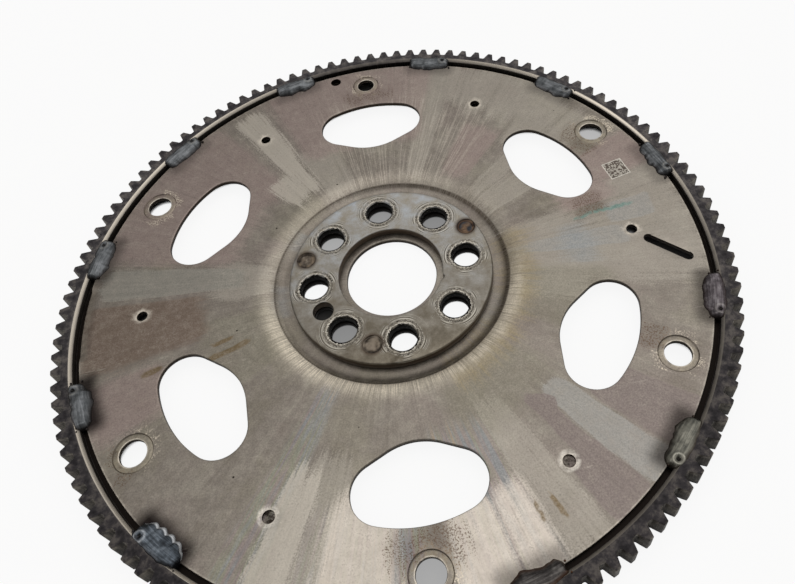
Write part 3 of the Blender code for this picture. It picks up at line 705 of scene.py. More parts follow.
# %% Spans of the films
# Spans of each film: from angle, to angle, from radius, to radius, softness in degrees
FILM_SPANS = {
    # Oil wiped thin, which leaves the sheet a little paler
    "thin": [(-48.0, -42.5, 104, 159, 1.5), (-53.0, -47.0, 64, 98, 2.0), (12.0, 26.0, 62, 104, 3.0),
        (-48.0, -10.0, 122, 159, 6.0), (-158.5, -152.5, 96, 158, 4.0), (-60.0, -47.0, 116, 152, 4.0),
        (-112.0, -78.0, 62, 100, 6.0), (-88.0, -74.0, 120, 158, 4.0), (-160.0, -152.0, 84, 158, 2.0),
        (74.0, 90.0, 62, 90, 4.0), (-66.0, -54.0, 64, 90, 4.0), (-22.0, -14.0, 64, 130, 3.0),
        (-104.0, -84.0, 92, 158, 6.0), (154.0, 164.0, 96, 160, 4.0)],
    # Strips that slid over the die and were wiped clean by it
    "pale": [(26.0, 33.5, 88, 152, 3.0), (26.5, 42.0, 72, 94, 4.0), (150.5, 158.0, 104, 158, 4.0)],
    # Paler strips near the two lowest welds: partly cleaner steel and partly a painted reflection
    "bright": [(161.5, 175.0, 114, 160, 6.0), (-176.0, -166.5, 120, 160, 3.0),
        (-166.5, -159.5, 119, 160, 4.0)],
    # Bright drawing lines on the shoulder that faces away
    "drawn": [(-36.0, 14.0, 62, 128, 8.0)],
    # Bands of old oil, grey
    "dull": [(-87.0, -81.0, 116, 142, 1.5), (-93.5, -88.0, 61, 122, 1.5), (-143.4, -136.6, 98, 158, 3.0)],
    # A band of old oil, greenish
    "moss": [(77.0, 85.0, 76, 152, 3.5)],
    # Thicker oil that has yellowed
    "olive": [(-168.0, -134.0, 66, 96, 9.0), (96.0, 122.0, 62, 100, 6.0), (30.0, 60.0, 58, 74, 6.0),
        (-122.0, -100.0, 62, 112, 5.0)],
    # Yellowed oil where it pooled along the foot of the shoulder
    "gold": [(-162.0, -78.0, 58, 71, 8.0)],
    # Faint heat tint between the windows
    "mauve": [(36.0, 76.0, 84, 158, 5.0), (-16.0, 24.0, 92, 158, 4.0), (-42.0, -30.0, 70, 110, 3.0),
        (-80.0, -58.0, 96, 126, 4.0), (104.0, 116.0, 118, 158, 4.0), (-74.0, -64.0, 120, 158, 3.0)],
    # Brown heat tint
    "umber": [(86.5, 101.5, 96, 156, 4.0)],
    # Dense violet-brown heat tint, with a sharp edge
    "violet": [(-136.0, -126.5, 114, 162, 3.0), (-148.0, -144.0, 94, 136, 3.0),
        (-151.0, -143.3, 126, 158, 3.0), (-173.0, -171.0, 134, 151, 2.0)],
    # Rainbow of a very thin film
    "iris": [(145.5, 153.0, 66, 157, 1.5), (-176.0, -160.0, 88, 158, 3.0), (158.0, 180.0, 118, 158, 3.0)],
    # Bluish sheen
    "blue": [(174.8, 177.2, 124, 136, 1.0), (50.0, 62.0, 54, 60, 4.0), (84.0, 104.0, 54, 60, 4.0),
        (-98.0, -84.0, 88, 104, 6.0), (-135.0, -110.0, 54, 60, 6.0)],
    # One line of layout dye
    "teal": [(-83.1, -82.1, 98, 133, 1.1)],
    # Dried drops of water
    "ochre": [(108.2, 110.2, 75, 100, 1.8), (104.0, 105.8, 83, 95, 1.6), (104.6, 106.2, 118, 130, 1.5),
        (-157.0, -156.0, 131, 144, 1.2), (-160.2, -159.4, 130, 142, 1.2)],
    # Light rust beside the holes and one window
    "rust": [(-65.0, -55.0, 126, 141, 3.0), (-120.5, -115.0, 126, 137, 1.5), (-6.0, 6.0, 130, 137, 3.0),
        (173.0, 187.0, 126, 140, 4.0), (-82.0, -76.0, 103, 118, 1.5), (117.0, 124.0, 147, 154, 2.0)],
}
print(sum(map(len, FILM_SPANS.values())), "spans of", len(FILM_SPANS), "films")

# %% [markdown]
# The spans become masks on the points of the disc, with edges that wander a little as oil does. A
# mask may fade over several degrees: the material sharpens it later, so no edge follows the mesh.

# %% Films as masks
EDGE_WANDER = 1.6


def from_angle(angles, centre):
    return (angles - centre + 180) % 360 - 180


films = {}


def add_mask(film, values):
    """Join a mask to its film, where the stronger of the two shows."""
    films[film] = np.maximum(films.get(film, 0.0), values)


wander_in = EDGE_WANDER * (drift(plan[:, 0], plan[:, 1], 7.0, 11) - 0.5)
wander_round = EDGE_WANDER * (drift(plan[:, 0], plan[:, 1], 11.0, 12) - 0.5)
for film, spans in FILM_SPANS.items():
    for start, end, inner, outer, soft in spans:
        turn = from_angle(angle, (start + end) / 2) + np.degrees(wander_round / np.maximum(radius, 20))
        spread = smooth(((end - start) / 2 - np.abs(turn)) / soft + 0.5)
        add_mask(film, spread * between(radius + 2 * wander_in, inner, outer, 6.0 + 2.0 * soft))
SWIRL_SPOT = polar(103, -144.4)
SWIRL_RADIUS = 5.2
add_mask("violet", between(np.linalg.norm(plan - SWIRL_SPOT, axis=1), -1.0, SWIRL_RADIUS, 1.0))
print("films as masks:", ", ".join(films))

# %% [markdown]
# Welding leaves soot close to each bead and a brown tint further out, stronger on the near side of
# this part. The coined rings are burnished and have a darker groove, and round some of them the
# steel has gone hazy with fine corrosion. The buttons' pits are painted shade, and the dimples and
# the lips of holes, burrs, buttons and rim are painted highlights.

# %% Marks of the welds and of the press, as masks
BEADS = ["weld_bead_%02d" % number for number in range(1, 13)]
BEAD_HALF_LENGTH = 12.6
BEAD_TOE = 152.8
SOOT_REACH = 8.0
HEAT_REACH = 15.0
HEAT_SHARES = {"weld_bead_09": 1.0, "weld_bead_10": 0.95, "weld_bead_11": 0.6, "weld_bead_05": 0.7,
               "weld_bead_06": 0.8, "weld_bead_07": 0.6}
USUAL_HEAT = 0.4
HAZE_REACH = 8.5
HAZE_SHARES = {0: 1.0, 60: 0.55, 120: 0.3, 180: 0.8, 240: 0.35, 300: 1.0}


def angle_of(node):
    low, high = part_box(node)
    middle = (low + high) / 2
    return math.degrees(math.atan2(-middle.x, middle.y))


for node in BEADS:
    along = np.abs(np.radians(from_angle(angle, angle_of(node)))) * RIM_RADIUS - BEAD_HALF_LENGTH + 1.0
    reach = np.hypot(np.clip(along, 0, None), np.clip(BEAD_TOE - radius, 0, None)) + wander_in * 0.5
    share = HEAT_SHARES.get(node, USUAL_HEAT)
    add_mask("soot", share * smooth(1 - reach / SOOT_REACH))
    add_mask("heat", share * smooth(1 - reach / HEAT_REACH))
add_mask("coin", smooth((COIN_WIDTH + 0.1 - hole_gap) / 0.4))
nearest_hole = (np.round(angle / 60) * 60) % 360
hazy = np.select([nearest_hole == turn for turn in HAZE_SHARES], list(HAZE_SHARES.values()), 0.3)
haze = smooth((HAZE_REACH - hole_gap) / 5.0) * (1 - films["coin"]) * hazy
add_mask("haze", haze * smooth(0.35 + 2.5 * (drift(plan[:, 0], plan[:, 1], 6.0, 77) - 0.42)))
add_mask("groove", between(hole_gap, COIN_WIDTH - 0.2, COIN_WIDTH + 0.2, 0.3))
add_mask("groove", between(button_gap, BUTTON - 0.35, BUTTON + 0.05, 0.15))
# Painted shade in the sunk pit of each button
add_mask("pit", smooth((BUTTON - 0.1 - button_gap) / 0.15))
# Painted highlight: a pale halo on the dimple round each button
add_mask("dimple", between(button_gap, BUTTON + 0.2, 4.6, 0.8))
# Painted highlights along the edges of the holes, the burrs, the buttons and the rim
add_mask("lip", between(hole_gap, -0.2, 0.35, 0.25))
add_mask("lip", between(burr, -0.2, 0.9, 0.5) * 0.7)
add_mask("lip", 0.7 * between(button_gap, BUTTON, BUTTON + 0.35, 0.2))
add_mask("lip", 0.4 * between(radius, RIM_RADIUS - 0.9, RIM_RADIUS + 1, 0.4))
add_mask("milled", cut)
print("marks from", len(BEADS), "welds, as far as", HEAT_REACH, "mm")

# %% [markdown]
# The shoulder carries a painted highlight, the dish's slope painted shade, and the crease a dark
# line of painted shade that widens on the right. The highlight fades with the distance from the
# crease and is strongest on the near side, so each mask is a curve over the radius times a slow one
# over the angle.

# %% Marks of the dish, as masks
BURNISH_START = 63.0
BURNISH_FADE = 4.2
SLOPE_START = 52.5

right_side = smooth(0.15 + 0.9 * np.cos(np.radians(angle + 68)))
# Painted shade: a dark line in the crease, with a wider band of it on the right side
add_mask("crease", between(radius, CREASE - 0.3, CREASE + 0.25, 0.4))
add_mask("crease", 0.9 * between(radius, CREASE - 2.0, CREASE + 0.1, 0.9) * right_side)
# Painted highlight on the shoulder, strongest on the near side
fading = np.exp(-(np.clip(radius - BURNISH_START, 0, None) / BURNISH_FADE) ** 2)
near_side = 0.15 + 0.85 * smooth(1.9 - 1.7 * (1 + np.cos(np.radians(angle))))
add_mask("burnish", smooth((radius - CREASE + 2.2) / 2.0) * fading * near_side)
# Painted shade on the dish's slope, weakest on the far side
shaded_side = 0.12 + 0.88 * smooth(0.75 - 0.75 * np.cos(np.radians(angle + 20)))
add_mask("slope", between(radius, SLOPE_START, CREASE, 1.5) * shaded_side)
SKINS = 2
for film, values in films.items():
    paint(stamped_disc, film, np.tile(values, SKINS))
print("masks painted on the disc:", len(films))

# %% [markdown]
# The sheet is low-carbon steel, pickled and cold rolled. To the eye it is a satin grey-brown metal
# whose grain runs outwards where the press drew it. The grain is noise on a ring: the direction from
# the axis times a number gives spots that are evenly spaced by angle, with no seam anywhere. Noise
# over the place alone gives the clouds of the pickling, the blotches of the oil and the grit.

# %% Cold-rolled sheet steel: grain and clouds
# Real drawing lines are about 0.2 mm apart and the grit is 0.05 mm. Both are drawn coarser, to show
GRAIN_WIDTH = 1.1
GRAIN_LENGTH = 30.0
GRIT = 0.7
# Bundles of drawing lines, clouds, patches and blotches have the size that they have on such a sheet
STRIPE_WIDTH = 4.5
STRIPE_LENGTH = 90.0
CLOUD = 18.0
PATCH = 42.0
BLOTCH = 3.4
# The radius at which the lines have the width that is given here
GRAIN_RADIUS = 110

sheet_steel, tree, shader = start_material("cold_rolled_sheet_steel")
place = place_in_mm(tree)
flat_place = add_node(tree, "VectorMath", {0: place, 1: (1, 1, 0)}, operation='MULTIPLY')
from_axis = add_node(tree, "VectorMath", {0: flat_place}, operation='LENGTH', out="Value")
outwards = add_node(tree, "VectorMath", {0: flat_place}, operation='NORMALIZE')
radial = []
for width, length, detail in ((GRAIN_WIDTH, GRAIN_LENGTH, 5.0), (STRIPE_WIDTH, STRIPE_LENGTH, 3.0)):
    round_it = add_node(tree, "VectorMath", {0: outwards, "Scale": GRAIN_RADIUS / width}, operation='SCALE')
    run = add_node(tree, "Math", {0: from_axis, 1: 1 / length}, operation='MULTIPLY')
    along = add_node(tree, "CombineXYZ", {2: run})
    where = add_node(tree, "VectorMath", {0: round_it, 1: along}, operation='ADD')
    radial.append(add_node(tree, "TexNoise", {"Vector": where, "Scale": 1.0, "Detail": detail,
                                              "Roughness": 0.62}))
grain, stripe = radial
cloud, patch, blotch, grit = [
    add_node(tree, "TexNoise", {"Vector": place, "Scale": 1 / size, "Detail": 6.0, "Roughness": 0.64})
    for size in (CLOUD, PATCH, BLOTCH, GRIT)]
tone = add_node(tree, "Mix", {0: 0.3, 2: cloud, 3: stripe}, data_type='FLOAT')
colour = add_node(tree, "ValToRGB", {0: tone},
                  stops=[(0.36, "#7b746b"), (0.50, "#867f77"), (0.63, "#938d83")])
# Pattern, where it starts and is full, how much it shows, and its colour
PATCHES = ((patch, 0.52, 0.62, 0.35, "#857a75"), (patch, 0.47, 0.37, 0.35, "#8f8a7a"),
           (blotch, 0.55, 0.75, 0.20, "#a8a296"))
for pattern, start, full, share, tint in PATCHES:
    amount = add_node(tree, "MapRange", {"Value": pattern, "From Min": start, "From Max": full,
                                         "To Max": share})
    colour = add_node(tree, "Mix", {0: amount, 6: colour, 7: tint}, data_type='RGBA', out=2)
print("grain", GRAIN_WIDTH, "mm wide, clouds", CLOUD, "mm wide")

# %% [markdown]
# Each film is a colour laid over the steel where its mask is. Torn edges make it look like oil and
# not like paint: grit, stripes and grain are added to the mask, and a narrow ramp then cuts it
# sharply. Most films are also worn through in spots, and rust and haze are little else but spots.

# %% Films over the sheet steel
# Film: colour, how much of it shows, how far its edge tears, how soft the torn edge is
FILM_LOOKS = {
    "thin": ("#a8a298", 0.60, 0.90, 0.80), "olive": ("#827e6f", 0.50, 0.70, 0.90),
    "mauve": ("#998984", 0.75, 0.70, 0.90), "pale": ("#bfb8ad", 0.80, 0.90, 0.50),
    "dull": ("#979591", 0.85, 0.35, 0.25), "moss": ("#949189", 0.85, 0.50, 0.35),
    "umber": ("#7a6b60", 0.90, 0.70, 0.70), "violet": ("#7f7571", 1.00, 0.35, 0.20),
    # Partly a painted reflection: the colour of the bright film
    "bright": ("#d6cdc2", 0.85, 0.70, 1.00), "blue": ("#8b949b", 0.40, 0.60, 0.90),
    "haze": ("#d0c5b3", 0.90, 1.20, 0.60), "drawn": ("#b5ada2", 0.45, 0.20, 0.90),
    "ochre": ("#75654c", 0.90, 0.40, 0.30), "gold": ("#8d7f5f", 0.75, 0.90, 1.00),
    "teal": ("#6a8c85", 0.80, 0.10, 0.50), "rust": ("#523f30", 0.80, 1.60, 0.60),
}
RAINBOW_SHARE = 0.38

rainbow = add_node(tree, "ValToRGB", {0: stripe}, stops=[
    (0.36, "#8a96a0"), (0.44, "#a08f92"), (0.50, "#949a82"), (0.56, "#8d98a2"),
    (0.63, "#b3a189")])
iris = add_node(tree, "Attribute", attribute_name="iris", out="Fac")
shine = add_node(tree, "Math", {0: iris, 1: RAINBOW_SHARE}, operation='MULTIPLY')
colour = add_node(tree, "Mix", {0: shine, 6: colour, 7: rainbow}, data_type='RGBA', out=2)
tear = add_node(tree, "Math", {0: grit, 1: stripe}, operation='ADD')
tear = add_node(tree, "Math", {0: tear, 1: grain}, operation='ADD')
tear = add_node(tree, "MapRange", {"Value": tear, "From Min": 1.15, "From Max": 1.85, "To Min": -0.5,
                                   "To Max": 0.5}, clamp=False)
worn_through = add_node(tree, "Math", {0: grit, 1: blotch}, operation='ADD')
worn_through = add_node(tree, "MapRange", {"Value": worn_through, "From Min": 1.18, "From Max": 0.92,
                                           "To Min": 0.62})
lined = add_node(tree, "MapRange", {"Value": grain, "From Min": 0.50, "From Max": 0.60})
spotted = add_node(tree, "MapRange", {"Value": grit, "From Min": 0.46, "From Max": 0.58})
BROKEN_FILMS = {"rust": spotted, "haze": spotted, "drawn": lined}
for film, (film_colour, share, torn_by, softness) in FILM_LOOKS.items():
    mask = add_node(tree, "Attribute", attribute_name=film, out="Fac")
    torn = add_node(tree, "Math", {0: tear, 1: torn_by, 2: mask}, operation='MULTIPLY_ADD')
    torn = add_node(tree, "MapRange", {"Value": torn, "From Min": 0.5 - softness / 2,
                                       "From Max": 0.5 + softness / 2, "To Max": share},
                    interpolation_type='SMOOTHSTEP')
    inside = add_node(tree, "MapRange", {"Value": mask, "From Max": 0.15})
    mask = add_node(tree, "Math", {0: torn, 1: inside}, operation='MULTIPLY')
    mask = add_node(tree, "Math", {0: mask, 1: BROKEN_FILMS.get(film, worn_through)}, operation='MULTIPLY')
    colour = add_node(tree, "Mix", {0: mask, 6: colour, 7: film_colour}, data_type='RGBA', out=2)
print("films over the steel:", ", ".join(FILM_LOOKS))

# %% [markdown]
# The marks are laid over the films, because they came last or cut through them. Rubbed bands are
# broken into lines by the grain and coined or milled faces into blotches. Soot and heat tint are
# smooth, as the welding laid them down from the air.

# %% Marks over the films
# Of these marks, the shoulder's, the dimple's and the lip colours are painted highlights, and the slope's,
# the crease's and the pit's colours are painted shade
MARK_COLOURS = {
    "burnish": "#e2d8c6", "slope": "#554b40", "coin": "#99917f", "groove": "#5d5146", "lip": "#d9d1c4",
    "milled": "#8f877c", "crease": "#3d332a", "heat": "#53443a", "soot": "#1c1615", "dimple": "#e6e0d6",
    "pit": "#2c2621",
}
MARK_SHARES = {"burnish": 0.95, "heat": 0.85, "dimple": 0.65, "coin": 0.5, "groove": 0.6, "milled": 0.6,
               "slope": 0.25}
SMOOTH_MARKS = ("heat", "soot")
LINED_MARKS = ("slope", "crease", "burnish")

uneven = add_node(tree, "MapRange", {"Value": blotch, "From Min": 0.38, "From Max": 0.56, "To Min": 0.2})
streaky = add_node(tree, "MapRange", {"Value": grain, "From Min": 0.40, "From Max": 0.60, "To Min": 0.45})
for mark, mark_colour in MARK_COLOURS.items():
    mask = add_node(tree, "Attribute", attribute_name=mark, out="Fac")
    if mark not in SMOOTH_MARKS:
        broken_by = streaky if mark in LINED_MARKS else uneven
        mask = add_node(tree, "Math", {0: mask, 1: broken_by}, operation='MULTIPLY')
    mask = add_node(tree, "Math", {0: mask, 1: MARK_SHARES.get(mark, 1.0)}, operation='MULTIPLY')
    colour = add_node(tree, "Mix", {0: mask, 6: colour, 7: mark_colour}, data_type='RGBA', out=2)
print("marks over the films:", ", ".join(MARK_COLOURS))

# %% [markdown]
# Handling left a few long scratches. A scratch is the thin place where a stretched noise crosses
# one value, and a second noise keeps it to a few areas. Real ones are 0.05 mm wide and would not
# show, so these are about 0.2 mm.

# %% Scratches
SCRATCH_SHARE = 0.3
SCRATCH_LENGTH = 220
SCRATCH_SPACING = 6
# Each set of scratches: its turn in radians, and the value of the noise that it follows
SCRATCH_SETS = ((0.6, 0.5), (2.3, 0.52))

for turn, value in SCRATCH_SETS:
    leaning = add_node(tree, "Mapping", {0: flat_place, 2: (0.0, 0.0, turn),
                       3: (1 / SCRATCH_LENGTH, 1 / SCRATCH_SPACING, 1.0)})
    field = add_node(tree, "TexNoise", {"Vector": leaning, "Scale": 1.0, "Detail": 1.0})
    offset = add_node(tree, "Math", {0: field, 1: value}, operation='SUBTRACT')
    offset = add_node(tree, "Math", {0: offset}, operation='ABSOLUTE')
    line = add_node(tree, "MapRange", {"Value": offset, "From Min": 0.0030, "From Max": 0.0005,
                    "To Max": SCRATCH_SHARE})
    rare = add_node(tree, "MapRange", {"Value": cloud, "From Min": 0.52, "From Max": 0.60})
    line = add_node(tree, "Math", {0: line, 1: rare}, operation='MULTIPLY')
    colour = add_node(tree, "Mix", {0: line, 6: colour, 7: "#bdb7ac"}, data_type='RGBA', out=2)
print("sets of scratches:", len(SCRATCH_SETS))

# %% [markdown]
# A square code was etched by laser on the web. Only its look is kept: a pale frame round a field of
# random cells that say nothing. The place is turned into the square's own cells, so that white
# noise over the whole cell numbers makes each cell dark or pale.

# %% The etched square
CODE_CENTRE = (129.5, 41.0)
CODE_TURN = math.radians(13.6)
CODE_CELL = 0.66
CODE_CELLS = 16
CODE_BORDER = 0.9
PALE_CELLS = 0.46
CODE_SHARE = 0.85

moved = add_node(tree, "Mapping", {0: flat_place, 1: (*CODE_CENTRE, 0.0), 2: (0.0, 0.0, CODE_TURN),
                 3: (CODE_CELL, CODE_CELL, 1.0)}, vector_type='TEXTURE')
cell = add_node(tree, "VectorMath", {0: moved}, operation='FLOOR')
chance = add_node(tree, "TexWhiteNoise", {"Vector": cell}, noise_dimensions='3D')
etched = add_node(tree, "Math", {0: chance, 1: PALE_CELLS}, operation='GREATER_THAN')
reach = add_node(tree, "VectorMath", {0: moved}, operation='ABSOLUTE')
sides = add_node(tree, "SeparateXYZ", {0: reach}, out=None)
furthest = add_node(tree, "Math", {0: sides.outputs["X"], 1: sides.outputs["Y"]}, operation='MAXIMUM')
in_field = add_node(tree, "Math", {0: furthest, 1: CODE_CELLS / 2}, operation='LESS_THAN')
in_square = add_node(tree, "Math", {0: furthest, 1: CODE_CELLS / 2 + CODE_BORDER}, operation='LESS_THAN')
frosted = add_node(tree, "Mix", {0: etched, 6: "#a9a59c", 7: "#4f4741"}, data_type='RGBA', out=2)
frosted = add_node(tree, "Mix", {0: in_field, 6: "#cbc7be", 7: frosted}, data_type='RGBA', out=2)
facing = add_node(tree, "NewGeometry", out="Normal")
upwards = add_node(tree, "SeparateXYZ", {0: facing}, out="Z")
on_top = add_node(tree, "Math", {0: upwards, 1: 0.5}, operation='GREATER_THAN')
etch = add_node(tree, "Math", {0: in_square, 1: on_top}, operation='MULTIPLY')
etch = add_node(tree, "Math", {0: etch, 1: CODE_SHARE}, operation='MULTIPLY')
colour = add_node(tree, "Mix", {0: etch, 6: colour, 7: frosted}, data_type='RGBA', out=2)
print("etched square is", round(CODE_CELL * CODE_CELLS, 1), "mm wide")

# %% [markdown]
# Last come small pits, the fine contrast of grain and grit, and painted shade: the upright walls
# of the holes are painted dark, and the face under the hub plate, which is seen only through its bolt
# holes, is painted nearly black. The finish is satin, with a faint relief of grain and grit that
# breaks up the reflection.

# %% Pits, contrast and gloss of the sheet
PIT_SPACING = 11
PITTED_SHARE = 0.72
# Radii of the face under the hub plate, which is painted nearly black as painted shade
UNDER_PLATE = (30.0, 48.0)
# Pattern, its usual range, and how much darker and brighter it makes the colour
CONTRASTS = ((grain, 0.35, 0.65, 0.955, 1.045), (blotch, 0.3, 0.7, 0.87, 1.13),
             (grit, 0.3, 0.7, 0.76, 1.24))

speck = add_node(tree, "TexVoronoi", {"Vector": place, "Scale": 1 / PIT_SPACING}, out=None)
small = add_node(tree, "MapRange", {"Value": speck.outputs["Distance"], "From Min": 0.055,
                                    "From Max": 0.03})
draw = add_node(tree, "SeparateXYZ", {0: speck.outputs["Color"]})
chosen = add_node(tree, "Math", {0: draw, 1: PITTED_SHARE}, operation='GREATER_THAN')
pitted = add_node(tree, "Math", {0: small, 1: chosen}, operation='MULTIPLY')
colour = add_node(tree, "Mix", {0: pitted, 6: colour, 7: "#2c2620"}, data_type='RGBA', out=2)
for pattern, low, high, dark_gain, bright_gain in CONTRASTS:
    gain = add_node(tree, "MapRange", {"Value": pattern, "From Min": low, "From Max": high,
                                       "To Min": dark_gain, "To Max": bright_gain})
    colour = add_node(tree, "Mix", {0: 1.0, 6: colour, 7: gain}, data_type='RGBA', blend_type='MULTIPLY',
                      out=2)
level = flatness(tree)
# Painted shade on the upright walls
sheared = add_node(tree, "MapRange", {"Value": level, "From Min": 0.20, "From Max": 0.10})
colour = add_node(tree, "Mix", {0: sheared, 6: colour, 7: "#352d26"}, data_type='RGBA', out=2)
# Painted shade: the face under the hub plate
inner_side = add_node(tree, "Math", {0: from_axis, 1: UNDER_PLATE[0]}, operation='GREATER_THAN')
outer_side = add_node(tree, "Math", {0: from_axis, 1: UNDER_PLATE[1]}, operation='LESS_THAN')
below_plate = add_node(tree, "Math", {0: inner_side, 1: outer_side}, operation='MULTIPLY')
colour = add_node(tree, "Mix", {0: below_plate, 6: colour, 7: "#14110f"}, data_type='RGBA', out=2)
tree.links.new(colour, shader.inputs["Base Color"])
shader.inputs["Metallic"].default_value = 0.92
satin = add_node(tree, "MapRange", {"Value": blotch, "From Min": 0.3, "From Max": 0.7, "To Min": 0.30,
                 "To Max": 0.44})
tree.links.new(satin, shader.inputs["Roughness"])
relief = add_node(tree, "Mix", {0: 0.7, 2: grain, 3: grit}, data_type='FLOAT')
bump = add_node(tree, "Bump", {"Height": relief, "Strength": 0.20, "Distance": 0.1 * MM})
tree.links.new(bump, shader.inputs["Normal"])
stamped_disc.data.materials.append(sheet_steel)
finish_piece(stamped_disc, ["flexplate_disc"])

# %% [markdown]
# The starter ring gear is a rolled and butt-welded ring of medium-carbon steel with hobbed stub
# teeth. The flanks are involutes, which is what lets the starter's pinion roll on them, so the
# outline uses the real curve. Its top skin drops over a chamfer into the bore, and a ledge below
# carries the disc's rim.

# %% Outline of the ring gear's teeth
TEETH = 122
PITCH_RADIUS = 167.75
MODULE = 2 * PITCH_RADIUS / TEETH
TIP_RADIUS = PITCH_RADIUS + 0.8 * MODULE
ROOT_RADIUS = PITCH_RADIUS - MODULE
PRESSURE = math.radians(20)
TOOTH_PHASE = 1.06
BACKLASH = 0.2
TIP_ROUND = 0.55
ROOT_ROUND = 0.9


def half_tooth(distance):
    """Half of a tooth's thickness at a distance from the axis, in radians."""
    pressure = np.arccos(np.minimum(1.0, PITCH_RADIUS * math.cos(PRESSURE) / distance))
    start = (math.pi * MODULE / 2 - BACKLASH) / 2 / PITCH_RADIUS + math.tan(PRESSURE) - PRESSURE
    return start - (np.tan(pressure) - pressure)


def tooth_outline():
    """One side of a tooth from the root land to the tip, as turns and distances."""
    quarter = np.linspace(0, math.pi / 2, 4)
    foot = ROOT_RADIUS + ROOT_ROUND
    shoulder = TIP_RADIUS - TIP_ROUND
    flank = np.linspace(foot, shoulder, 5)[1:-1]
    root_turn = half_tooth(foot) + ROOT_ROUND / foot * (1 - np.sin(quarter))
    tip_turn = half_tooth(shoulder) - TIP_ROUND / TIP_RADIUS * (1 - np.cos(quarter))
    turns = np.concatenate((root_turn, half_tooth(flank), tip_turn))
    distances = np.concatenate((ROOT_RADIUS + ROOT_ROUND * (1 - np.cos(quarter)), flank,
                                shoulder + TIP_ROUND * np.sin(quarter)))
    return turns, distances


turns, distances = tooth_outline()
gear_loop = []
for tooth in range(TEETH):
    centre = math.radians(TOOTH_PHASE) + 2 * math.pi * tooth / TEETH
    around = centre + np.concatenate((-turns, turns[::-1]))
    reach = np.concatenate((distances, distances[::-1]))
    gear_loop.append(np.stack((-reach * np.sin(around), reach * np.cos(around)), axis=1))
gear_loop = np.concatenate(gear_loop)
print("module", round(MODULE, 3), "mm, tip diameter", round(2 * TIP_RADIUS, 1), "mm")

# %% [markdown]
# The gear's top skin is a plate as well. It is flat out to the teeth, drops over the turned chamfer
# at the bore, and steps down to the ledge that lies below the disc's rim.

# %% The ring gear as a plate with a stepped bore
LEDGE_INNER = RIM_RADIUS - 3.9
LEDGE_TOP = DISC_TOP - SHEET - 0.3
CHAMFER_WIDTH = 1.4
CHAMFER_HEIGHT = 1.5
GEAR_EDGE = 0.4
FACE_START = 162
FACE_WAVE = 0.05
FACE_WAVE_SIZE = 8.0
GEAR_STEPS = (156.6, 159.6, 159.95, BORE_RADIUS, BORE_RADIUS + 0.7, BORE_RADIUS + CHAMFER_WIDTH - 0.12,
              BORE_RADIUS + CHAMFER_WIDTH + 0.12, 162.6, 163.8)

gear = Drawing(gear_loop, GEAR_EDGE)
gear.add_edge(circle((0, 0), LEDGE_INNER, 366), radius=GEAR_EDGE)
gear.add_points(np.concatenate([circle((0, 0), distance, 488) for distance in GEAR_STEPS]))
plan, faces, drops = gear.mesh_plan()
radius = np.linalg.norm(plan, axis=1)
chamfer = np.clip((BORE_RADIUS + CHAMFER_WIDTH - radius) / CHAMFER_WIDTH, 0, 1) * CHAMFER_HEIGHT
top = np.where(radius > BORE_RADIUS - 0.02, RING_TOP - chamfer, LEDGE_TOP) - drops
uneven_face = FACE_WAVE * (drift(plan[:, 0], plan[:, 1], FACE_WAVE_SIZE, 21) - 0.5)
top += np.where(radius > FACE_START, uneven_face, 0.0)
starter_ring = build_plate("starter_ring", plan, faces, top, drops)
print("the ring gear's plan has", len(plan), "points")

# %% [markdown]
# The ring was hardened by induction after the teeth were cut, which leaves a dark mottled scale on
# its faces; the scale's colour is darker towards the near side. The flanks keep a lighter machined
# look, with cutter marks from top to bottom. Which face is which comes from its normal and its height.

# %% Induction-hardened gear steel: scale and flanks
SCALE_MOTTLE = 5.0
# Real cutter marks are about 0.1 mm apart, which would not show
CUTTER_MARK = 0.5
CUTTER_MARK_LENGTH = 1 / 0.12

gear_steel, tree, shader = start_material("hardened_gear_steel_scale")
place = place_in_mm(tree)
parts = add_node(tree, "SeparateXYZ", {0: place}, out=None)
mottle = add_node(tree, "TexNoise", {"Vector": place, "Scale": 1 / SCALE_MOTTLE, "Detail": 7.0,
                                     "Roughness": 0.68})
light_scale = add_node(tree, "ValToRGB", {0: mottle},
                       stops=[(0.36, "#2f2d30"), (0.50, "#4c494b"), (0.62, "#716c69")])
heavy_scale = add_node(tree, "ValToRGB", {0: mottle},
                       stops=[(0.36, "#252325"), (0.50, "#3b383a"), (0.62, "#5c5754")])
heavy = add_node(tree, "MapRange", {"Value": parts.outputs["Y"], "From Min": 60.0, "From Max": -110.0})
scale = add_node(tree, "Mix", {0: heavy, 6: light_scale, 7: heavy_scale}, data_type='RGBA', out=2)
level = flatness(tree)
flank = add_node(tree, "MapRange", {"Value": level, "From Min": 0.10, "From Max": 0.35, "To Min": 1.0,
                                    "To Max": 0.0})
marks_scale = (1 / CUTTER_MARK, 1 / CUTTER_MARK, 1 / CUTTER_MARK_LENGTH)
stretched = add_node(tree, "VectorMath", {0: place, 1: marks_scale}, operation='MULTIPLY')
marks = add_node(tree, "TexNoise", {"Vector": stretched, "Scale": 1.0, "Detail": 3.0})
flank_colour = add_node(tree, "ValToRGB", {0: marks},
                        stops=[(0.34, "#1b1918"), (0.52, "#322f2c"), (0.68, "#645e57")])
run_low = add_node(tree, "MapRange", {"Value": parts.outputs["Z"], "From Min": 1.0, "From Max": 2.6})
run_high = add_node(tree, "MapRange", {"Value": parts.outputs["Z"], "From Min": 9.6, "From Max": 8.2})
worn = add_node(tree, "Math", {0: run_low, 1: run_high}, operation='MULTIPLY')
worn = add_node(tree, "Math", {0: worn, 1: flank}, operation='MULTIPLY')
colour = add_node(tree, "Mix", {0: worn, 6: scale, 7: flank_colour}, data_type='RGBA', out=2)
print("scale mottled at", SCALE_MOTTLE, "mm, cutter marks", CUTTER_MARK, "mm wide")

